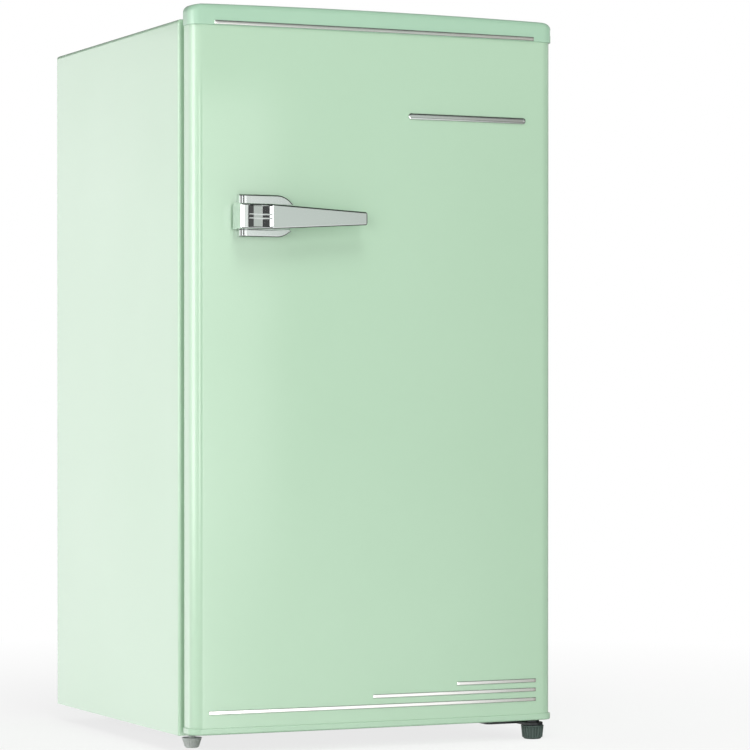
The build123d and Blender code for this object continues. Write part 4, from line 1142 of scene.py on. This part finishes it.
def makeRear():
    plane, entryY = condenser["plane"], pipes["entryY"]
    makePipe("condenserTube", condenserCorners(), condenser["bend"], condenser["tube"], "black_paint", "condenser_tube")
    makeCondenserWires()
    makeDrier()
    line = pipes["capillary"]
    start, x, low, high = -condenser["riser"], line["x"], line["low"], line["high"]
    makePipe("capillaryTube", [(start, plane, condenser["drierBottom"]), (start, plane, low), (x, plane, low),
                               (x, plane, high), (x, entryY, high)],
             line["bend"], line["radius"], "copper_pipe", "capillary_tube")
    line = pipes["suction"]
    start, y, low = portPlace("inlet")
    x, high = line["x"], line["high"]
    makePipe("suctionLine", [(start, y, low), (x, y, low), (x, plane, low), (x, plane, high), (x, entryY, high)],
             line["bend"], line["radius"], "copper_pipe", "suction_line")
    line = pipes["process"]
    start, y, low = portPlace("process")
    x, near = compressor["x"] + line["x"], plane - line["before"]
    makePipe("processTube", [(start, y, low), (x, near, low), (x, near, line["high"])],
             line["bend"], line["radius"], "copper_pipe")
    makeCompressor()
    makeMounts()


makeRear()
print("condenser and compressor made")


# Screws, in millimetres

screws = {
    "head": 4.5, "height": 2.5, "sink": 0.2, "crownSteps": 6,
    "foot": 0.96, "crown": 0.55,  # shares of the radius
    "flank": (0.25, 0.3),  # shares of the height, where the flank ends and where the crown starts
    "slot": 0.55, "slotReach": 2.6,
    "slotFloor": 0.35,  # share of the height
    "upper": ((146, 20), (146, 40), (176, 40)), "upperZ": 817.4,
    "lower": ((168, 26), (168, 52), (200, 52)), "lowerZ": 16.3,
    "panelX": 208, "panelY": 394, "panelLow": 262, "panelStep": 108, "panelCount": 5,
}


def screwHead(turn):
    # Pan head with a cross recess, facing up until it is turned
    radius, height = screws["head"], screws["height"]
    crown, (flank, start) = screws["crown"], screws["flank"]
    profile = [(radius * screws["foot"], -screws["sink"]), (radius, flank * height)]
    profile += [(radius * (1 - crown + crown * cos(t)), height * (start + (1 - start) * sin(t)))
                for t in quarterTurn(screws["crownSteps"])]
    profile.append((0, height))
    head = turnedPiece("screwHead", profile, steps=28)
    reach, half = screws["slotReach"], screws["slot"]
    for x, y in ((reach, half), (half, reach)):
        cutter = bmesh.new()
        addBlock(cutter, Vector((-x, -y, height * screws["slotFloor"])) * mm, Vector((x, y, height * 2)) * mm)
        cutAway(head, meshFromBmesh("recessCutter", cutter))
    head.data.transform(Matrix.Rotation(turn, 4, "X"))
    return head


def makeScrews():
    sets = []
    for side, turn in (("upper", 0), ("lower", pi)):
        places = [spot(x, y, screws[side + "Z"]) for x, y in screws[side]]
        sets.append(copyOnto(side + "Screws", screwHead(turn), places, "bare_steel"))
    dress(joinAs("hingeScrews", *sets), "cabinet", "bare_steel", "hinge_screws")
    places = [spot(side * screws["panelX"], screws["panelY"], screws["panelLow"] + i * screws["panelStep"])
              for side in (-1, 1) for i in range(screws["panelCount"])]
    dress(copyOnto("rearPanelScrews", screwHead(-pi / 2), places, "bare_steel"), "cabinet", "bare_steel")


makeScrews()
print("screws made")


# Fittings that keep the plain piece's shape with their edges softened

softened = {
    # node: (body, edge radius in mm)
    "shelf_trims": ("cabinet", 0.8),
    "freezer_frame": ("cabinet", 0.8),
    "thermostat_housing": ("cabinet", 1.2),
    "hinge_cover": ("cabinet", 0.8),
    "upper_hinge_bracket": ("cabinet", 0.5),
    "lower_hinge_bracket": ("cabinet", 0.5),
    "relay_box": ("cabinet", 1.5),
    "evaporation_tray": ("cabinet", 0.6),
    "condenser_clips": ("cabinet", 0.6),
    "rear_feet": ("cabinet", 1.0),
    "rear_crossbar": ("cabinet", 0.5),
    "shelf_upper": ("cabinet", 0.7),
    "shelf_lower": ("cabinet", 0.7),
    "crisper_cover": ("cabinet", 0.7),
    "drip_tray": ("drip_tray", 0.5),
    "thermostat_dial": ("thermostat_dial", 0.6),
    "lamp_switch_button": ("lamp_switch_button", 0.6),
}


def softCopy(node, radius):
    # The plain piece with its triangles joined into faces and its sharp edges rounded
    bm = bmesh.new()
    bm.from_mesh(cadNodes[node].data)
    bmesh.ops.remove_doubles(bm, verts=bm.verts, dist=0.01 * mm)
    bmesh.ops.dissolve_limit(bm, angle_limit=radians(1), verts=bm.verts, edges=bm.edges)
    piece = meshFromBmesh(node + "Soft", bm)
    edge = piece.modifiers.new("softEdge", "BEVEL")
    edge.width = radius * mm
    edge.segments = 3
    edge.limit_method = "ANGLE"
    edge.angle_limit = radians(40)
    bakeModifiers(piece)
    shadeSmooth(piece.data, sharpAngle=34)
    return piece


for node, (body, radius) in softened.items():
    dress(softCopy(node, radius), body, slotOf[node], node)
print("fittings softened")


# Ribbed mouldings: crisper drawer, door racks, lamp cover and freezer flap

ribbed = {
    # node: (body, edge radius, rib radius, count, foot of the first rib, step, length of a rib), in mm
    "crisper_drawer": ("crisper_drawer", 0.8, 1.1, 21, (-150, 118, 232), (15, 0, 0), 52),
    "rack_upper": ("door", 0.8, 1.2, 19, (-135, 88, 437), (15, 0, 0), 52),
    "rack_lower": ("door", 0.8, 1.2, 19, (-135, 88, 108), (15, 0, 0), 76),
    "lamp_cover": ("cabinet", 0.5, 1.3, 13, (148.5, 88.5, 576), (0, 3.4, 0), 48),
    "freezer_flap": ("freezer_flap", 1.2, 0.9, 29, (-126, 113.4, 699), (9, 0, 0), 42),
}
ribEnd = ((0.25, 0), (0.75, 0.4), (1, 1))  # a rib's round end: radius and distance from it, in rib radii


def makeRibbed(node, body, edgeRound, radius, count, first, step, length):
    slot = slotOf[node]
    profile = [(radius * r, radius * away) for r, away in ribEnd]
    profile += [(radius * r, length - radius * away) for r, away in ribEnd[::-1]]
    row = runTree("row", turnedPiece(node + "Rib", profile, spot(*first), steps=12, sharpAngle=50), node + "Ribs", {
        "Count": count, "Step": [s * mm for s in step], "Material": finishes[slot]}, sharpAngle=50)
    dress(joinAs(node + "Soft", softCopy(node, edgeRound), row), body, slot, node)


for node, form in ribbed.items():
    makeRibbed(node, *form)
print("ribbed mouldings made")


# Cold plate: the refrigerant channels stand up from the floor of the freezer box

coldPlate = {"half": 150, "front": 150, "back": 350, "rows": 8, "bend": 9, "radius": 2.6, "floor": 670, "sink": 1.1}


def makeChannels():
    corners = []
    side = -1
    for y in evenSteps(coldPlate["front"], coldPlate["back"], coldPlate["rows"] - 1):
        for x in (side, -side):
            corners.append((x * coldPlate["half"], y, coldPlate["floor"] - coldPlate["sink"]))
        side = -side
    makePipe("rollBondChannels", corners, coldPlate["bend"], coldPlate["radius"], "evaporator_aluminium")


makeChannels()


# Scale round the thermostat dial and the pointer on it, in millimetres

scale = {
    "x": 149.85, "y": 62, "z": 602, "count": 8, "start": 225, "sweep": 270,
    "numberRadius": 21.0, "numberSize": 4.2, "numberRise": 0.08,
    "tickIn": 16.2, "tickOut": 18.0, "tickSteps": 3, "tickHalf": (0.1, 0.35, 0.35),
}
pointer = {"low": 604, "high": 614, "half": 0.6, "proud": 0.05, "sink": 0.4, "round": 0.15}


def onScale(reach, turn):
    return spot(scale["x"], scale["y"] - reach * cos(turn), scale["z"] + reach * sin(turn))


def makeScale():
    facing = Matrix(((0, 0, -1), (-1, 0, 0), (0, 1, 0))).to_4x4()  # stands the figures up to be read from the left
    half = Vector(scale["tickHalf"]) * mm
    bm = bmesh.new()
    for i in range(scale["count"]):
        turn = radians(scale["start"] - scale["sweep"] * i / (scale["count"] - 1))
        text = bpy.data.curves.new("scaleText", "FONT")
        text.body = str(i)
        text.size = scale["numberSize"] * mm
        text.extrude = scale["numberRise"] * mm
        text.align_x = "CENTER"
        text.align_y = "CENTER"
        figure = linkObject("scaleText", text)
        mesh = finalMesh(figure)
        mesh.transform(Matrix.Translation(onScale(scale["numberRadius"], turn)) @ facing)
        bm.from_mesh(mesh)
        bpy.data.objects.remove(figure)
        for reach in evenSteps(scale["tickIn"], scale["tickOut"], scale["tickSteps"]):
            dot = onScale(reach, turn)
            addBlock(bm, dot - half, dot + half)
    dress(meshFromBmesh("dialScale", bm), "cabinet", "slate_plastic")
    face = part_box("thermostat_dial")[0][0] / mm
    bm = bmesh.new()
    addBlock(bm, spot(face - pointer["proud"], scale["y"] - pointer["half"], pointer["low"]),
             spot(face + pointer["sink"], scale["y"] + pointer["half"], pointer["high"]), pointer["round"] * mm)
    dress(meshFromBmesh("dialPointer", bm), "thermostat_dial", "slate_plastic")


makeScale()
print("dial scale and cold plate made")


# Camera, light and floor

camera = {
    "place": (-1.47706, -3.44239, 0.38779),
    "yaw": 24.54,
    "pitch": -0.4667,
    "lens": 151.15,
    "sensor": 36,
    "shiftY": 0.0727,
    "clip": (0.05, 200),
}


def makeCamera():
    data = bpy.data.cameras.new("photoCamera")
    data.lens = camera["lens"]
    data.sensor_width = camera["sensor"]
    data.shift_y = camera["shiftY"]
    data.clip_start, data.clip_end = camera["clip"]
    eye = linkObject("photoCamera", data)
    eye.location = camera["place"]
    eye.rotation_euler = (radians(90 + camera["pitch"]), 0, radians(-camera["yaw"]))
    scene.camera = eye


lampAim = (0, 0, 0.45)
lamps = {
    # name: azimuth from the front (left is negative), distance, height, width, tall, power
    "leftWindow": (-92, 3.0, 0.75, 1.8, 1.5, 14),
    "frontWindow": (-45, 5.0, 0.75, 2.6, 2.2, 58),
    "rightWindow": (28, 3.0, 0.75, 1.6, 1.5, 8),
    "frontKey": (-4, 3.4, 2.0, 0.8, 0.7, 12),
    "topSheet": (-12, 2.2, 3.6, 1.6, 1.4, 42),
    "rightFill": (105, 3.6, 1.2, 2.2, 1.8, 42),
    "rearFill": (196, 3.6, 1.6, 2.0, 1.6, 14),
}


def makeLamps():
    for name, (azimuth, distance, height, width, tall, power) in lamps.items():
        data = bpy.data.lights.new(name, "AREA")
        data.shape = "RECTANGLE"
        data.size = width
        data.size_y = tall
        data.energy = power
        lamp = linkObject(name, data)
        turn = radians(azimuth)
        lamp.location = (sin(turn) * distance, -cos(turn) * distance, height)
        lamp.rotation_euler = (Vector(lampAim) - lamp.location).to_track_quat("-Z", "Y").to_euler()
        lamp.visible_camera = False
        lamp.visible_glossy = False


studio = {
    "radius": 6.5,
    "low": -4.0,
    "high": 5.0,
    "steps": 128,
    "endGap": 0.01,  # the dark ends stand this far beyond the wall
    "endLevel": 0.1,
    # azimuth from the front, brightness of the wall there
    "levels": (
        (-180, 0.75), (-167, 0.8), (-162, 1.58), (-138, 1.64), (-122, 2.4), (-104, 3.2), (-96, 3.4), (-91, 6.4),
        (-67, 6.4), (-62, 2.6), (-48, 2.3), (-46, 1.25), (-31, 1.25), (-29, 5.2), (-19, 5.2), (-17, 0.5),
        (-14, 0.08), (-3, 0.08), (0.8, 0.3), (1.6, 3.2), (15, 3.0), (18.2, 2.3), (19.3, 0.9), (20.5, 0.78),
        (26, 0.7), (29, 0.42), (33, 0.28), (46, 0.3), (52, 0.1), (110, 0.1), (150, 0.6), (180, 0.75)),
    # the same for the pale floor that low surfaces see
    "floorLevels": (
        (-180, 0.75), (-167, 0.8), (-162, 1.56), (-153, 1.6), (-147, 2.6), (-125, 2.6), (-118, 1.5), (-64, 1.5),
        (-46, 1.4), (-35.5, 1.1), (-1, 1.1), (1.6, 3.4), (15, 3.2), (19, 1.6), (27, 1.3), (28.5, 0.98), (30, 0.72),
        (31.5, 0.58), (36, 0.5), (50, 0.25), (110, 0.25), (150, 0.6), (180, 0.75)),
    "floorFade": (-0.35, 0.25),
    # and for the wall's upper part
    "upperLevels": (
        (-180, 0.9), (-167, 0.95), (-162, 1.55), (-138, 1.9), (-104, 3.4), (-96, 3.8), (-91, 6.4), (-67, 6.4),
        (-62, 3.0), (-50, 1.8), (-34, 1.1), (-30, 1.0), (-1, 0.9), (1.6, 1.2), (12.5, 1.2), (14, 0.84), (20, 0.74),
        (26, 0.68), (33, 0.64), (52, 0.3), (110, 0.3), (150, 0.7), (180, 0.9)),
    "upperFade": (1.3, 1.42),
    "crown": (1.57, 1.68, 0.15),  # from this height to that one the wall dims to this share
    "foot": (-0.7, -1.1, 0.6),  # and so it does downwards
    # levels between these two are tinted
    "tints": ((0.65, 0.82, (0.93, 1.0, 0.95)), (0.3, 0.65, (1.0, 0.98, 0.93))),
}
floor = {
    "radius": 40,
    "paper": "#FBFBFA",
    "white": (0.4, 1.5, 0.78),  # between these distances what is seen rises from this share of white to all of it
}
world = {"fill": 0.255}  # light from all round


def levelRamp(tree, share, levels, brightest):
    ramp = addNode(tree, "ShaderNodeValToRGB", links={"Fac": share})
    for i, (azimuth, level) in enumerate(levels):
        position = (azimuth + 180) / 360
        stop = ramp.color_ramp.elements[i] if i < 2 else ramp.color_ramp.elements.new(position)
        stop.position = position
        tint = next((tint for low, high, tint in studio["tints"] if low < level < high), (1, 1, 1))
        stop.color = [level / brightest * part for part in tint] + [1]
    return ramp.outputs["Color"]


def studioPaper():
    material = bpy.data.materials.new("studioWallPaper")
    tree = emptyTree(material)
    place = addNode(tree, "ShaderNodeTexCoord").outputs["Object"]
    x, y, z = addNode(tree, "ShaderNodeSeparateXYZ", links={"Vector": place}).outputs
    back = addNode(tree, "ShaderNodeMath", {"operation": "MULTIPLY", 1: -1.0}, {0: y})
    turn = addNode(tree, "ShaderNodeMath", {"operation": "ARCTAN2"}, {0: x, 1: back.outputs[0]})
    share = addNode(tree, "ShaderNodeMapRange", {"From Min": -pi, "From Max": pi},
                    {"Value": turn.outputs[0]}).outputs[0]
    brightest = max(level for _, level in studio["levels"])
    tone = levelRamp(tree, share, studio["floorLevels"], brightest)
    for levels, fade in (("levels", "floorFade"), ("upperLevels", "upperFade")):
        low, high = studio[fade]
        rise = addNode(tree, "ShaderNodeMapRange", {"From Min": low, "From Max": high}, {"Value": z})
        tone = addNode(tree, "ShaderNodeMix", {"data_type": "RGBA"}, {
            0: rise.outputs[0], 6: tone, 7: levelRamp(tree, share, studio[levels], brightest)}).outputs[2]
    middle = (studio["low"] + studio["high"]) / 2
    aside = addNode(tree, "ShaderNodeMath", {"operation": "SUBTRACT", 1: middle}, {0: z})
    aside = addNode(tree, "ShaderNodeMath", {"operation": "ABSOLUTE"}, {0: aside.outputs[0]})
    beyond = addNode(tree, "ShaderNodeMath", {"operation": "GREATER_THAN", 1: studio["high"] - middle},
                     {0: aside.outputs[0]})
    tone = addNode(tree, "ShaderNodeMix", {"data_type": "RGBA", 7: [studio["endLevel"] / brightest] * 3 + [1]},
                   {0: beyond.outputs[0], 6: tone}).outputs[2]
    fades = []
    for start, end, least in (studio["crown"], studio["foot"]):
        fades.append(addNode(tree, "ShaderNodeMapRange", {"From Min": start, "From Max": end, "To Min": 1.0,
                                                          "To Max": least}, {"Value": z}).outputs[0])
    fade = addNode(tree, "ShaderNodeMath", {"operation": "MULTIPLY"}, {0: fades[0], 1: fades[1]})
    strength = addNode(tree, "ShaderNodeMath", {"operation": "MULTIPLY", 1: brightest}, {0: fade.outputs[0]})
    glow = addNode(tree, "ShaderNodeEmission", links={"Color": tone, "Strength": strength.outputs[0]})
    addNode(tree, "ShaderNodeOutputMaterial", links={"Surface": glow.outputs[0]})
    material.cycles.emission_sampling = "NONE"
    return material


def makeStudio():
    # Bright, grey and dark walls all round, which only the gloss on the surfaces sees
    turns = evenSteps(-pi, pi, studio["steps"])
    rows = [[(sin(t) * studio["radius"], -cos(t) * studio["radius"], z) for t in turns]
            for z in (studio["low"], studio["high"])]
    bm = bmesh.new()
    loft(bm, rows, closed=False)
    for row, beyond in zip(rows, (-studio["endGap"], studio["endGap"])):
        bm.faces.new([bm.verts.new((x, y, z + beyond)) for x, y, z in row[:-1]])
    wall = meshFromBmesh("studioWall", bm, fixNormals=False)
    wall.data.materials.append(studioPaper())
    wall.visible_camera = False
    wall.visible_diffuse = False
    wall.visible_transmission = False
    wall.visible_shadow = False


def seenRays(tree):
    # 1 for what the camera sees, also in a mirror or through glass, and 0 for the light on the surfaces
    rays = addNode(tree, "ShaderNodeLightPath").outputs
    seen = rays["Is Camera Ray"]
    for ray in ("Is Glossy Ray", "Is Transmission Ray"):
        seen = addNode(tree, "ShaderNodeMath", {"operation": "MAXIMUM"}, {0: seen, 1: rays[ray]}).outputs[0]
    return seen


def makeFloor():
    bm = bmesh.new()
    bmesh.ops.create_circle(bm, cap_ends=True, segments=64, radius=floor["radius"])
    ground = meshFromBmesh("studioFloor", bm, fixNormals=False)
    material = bpy.data.materials.new("whiteStudioFloor")
    tree = emptyTree(material)
    place = addNode(tree, "ShaderNodeTexCoord").outputs["Object"]
    reach = addNode(tree, "ShaderNodeVectorMath", {"operation": "LENGTH"}, {0: place})
    near, far, least = floor["white"]
    white = addNode(tree, "ShaderNodeMapRange", {"From Min": near, "From Max": far, "To Min": least},
                    {"Value": reach.outputs["Value"]})
    share = addNode(tree, "ShaderNodeMath", {"operation": "MULTIPLY"}, {0: seenRays(tree), 1: white.outputs[0]})
    paper = addNode(tree, "ShaderNodeBsdfDiffuse", {"Color": hexToLinear(floor["paper"])})
    glow = addNode(tree, "ShaderNodeEmission", {"Color": (1, 1, 1, 1)})
    mix = addNode(tree, "ShaderNodeMixShader", links={0: share.outputs[0], 1: paper.outputs[0], 2: glow.outputs[0]})
    addNode(tree, "ShaderNodeOutputMaterial", links={"Surface": mix.outputs[0]})
    ground.data.materials.append(material)
    ground.visible_glossy = False


def makeWorld():
    scene.world = bpy.data.worlds.new("whiteStudio")
    tree = emptyTree(scene.world)
    level = addNode(tree, "ShaderNodeMapRange", {"To Min": world["fill"], "To Max": 1.0}, {"Value": seenRays(tree)})
    sky = addNode(tree, "ShaderNodeBackground", {"Color": (1, 1, 1, 1)}, {"Strength": level.outputs[0]})
    addNode(tree, "ShaderNodeOutputWorld", links={"Surface": sky.outputs[0]})


makeCamera()
makeLamps()
makeStudio()
makeFloor()
makeWorld()
scene.view_settings.view_transform = "Standard"
print("camera, light and floor made")
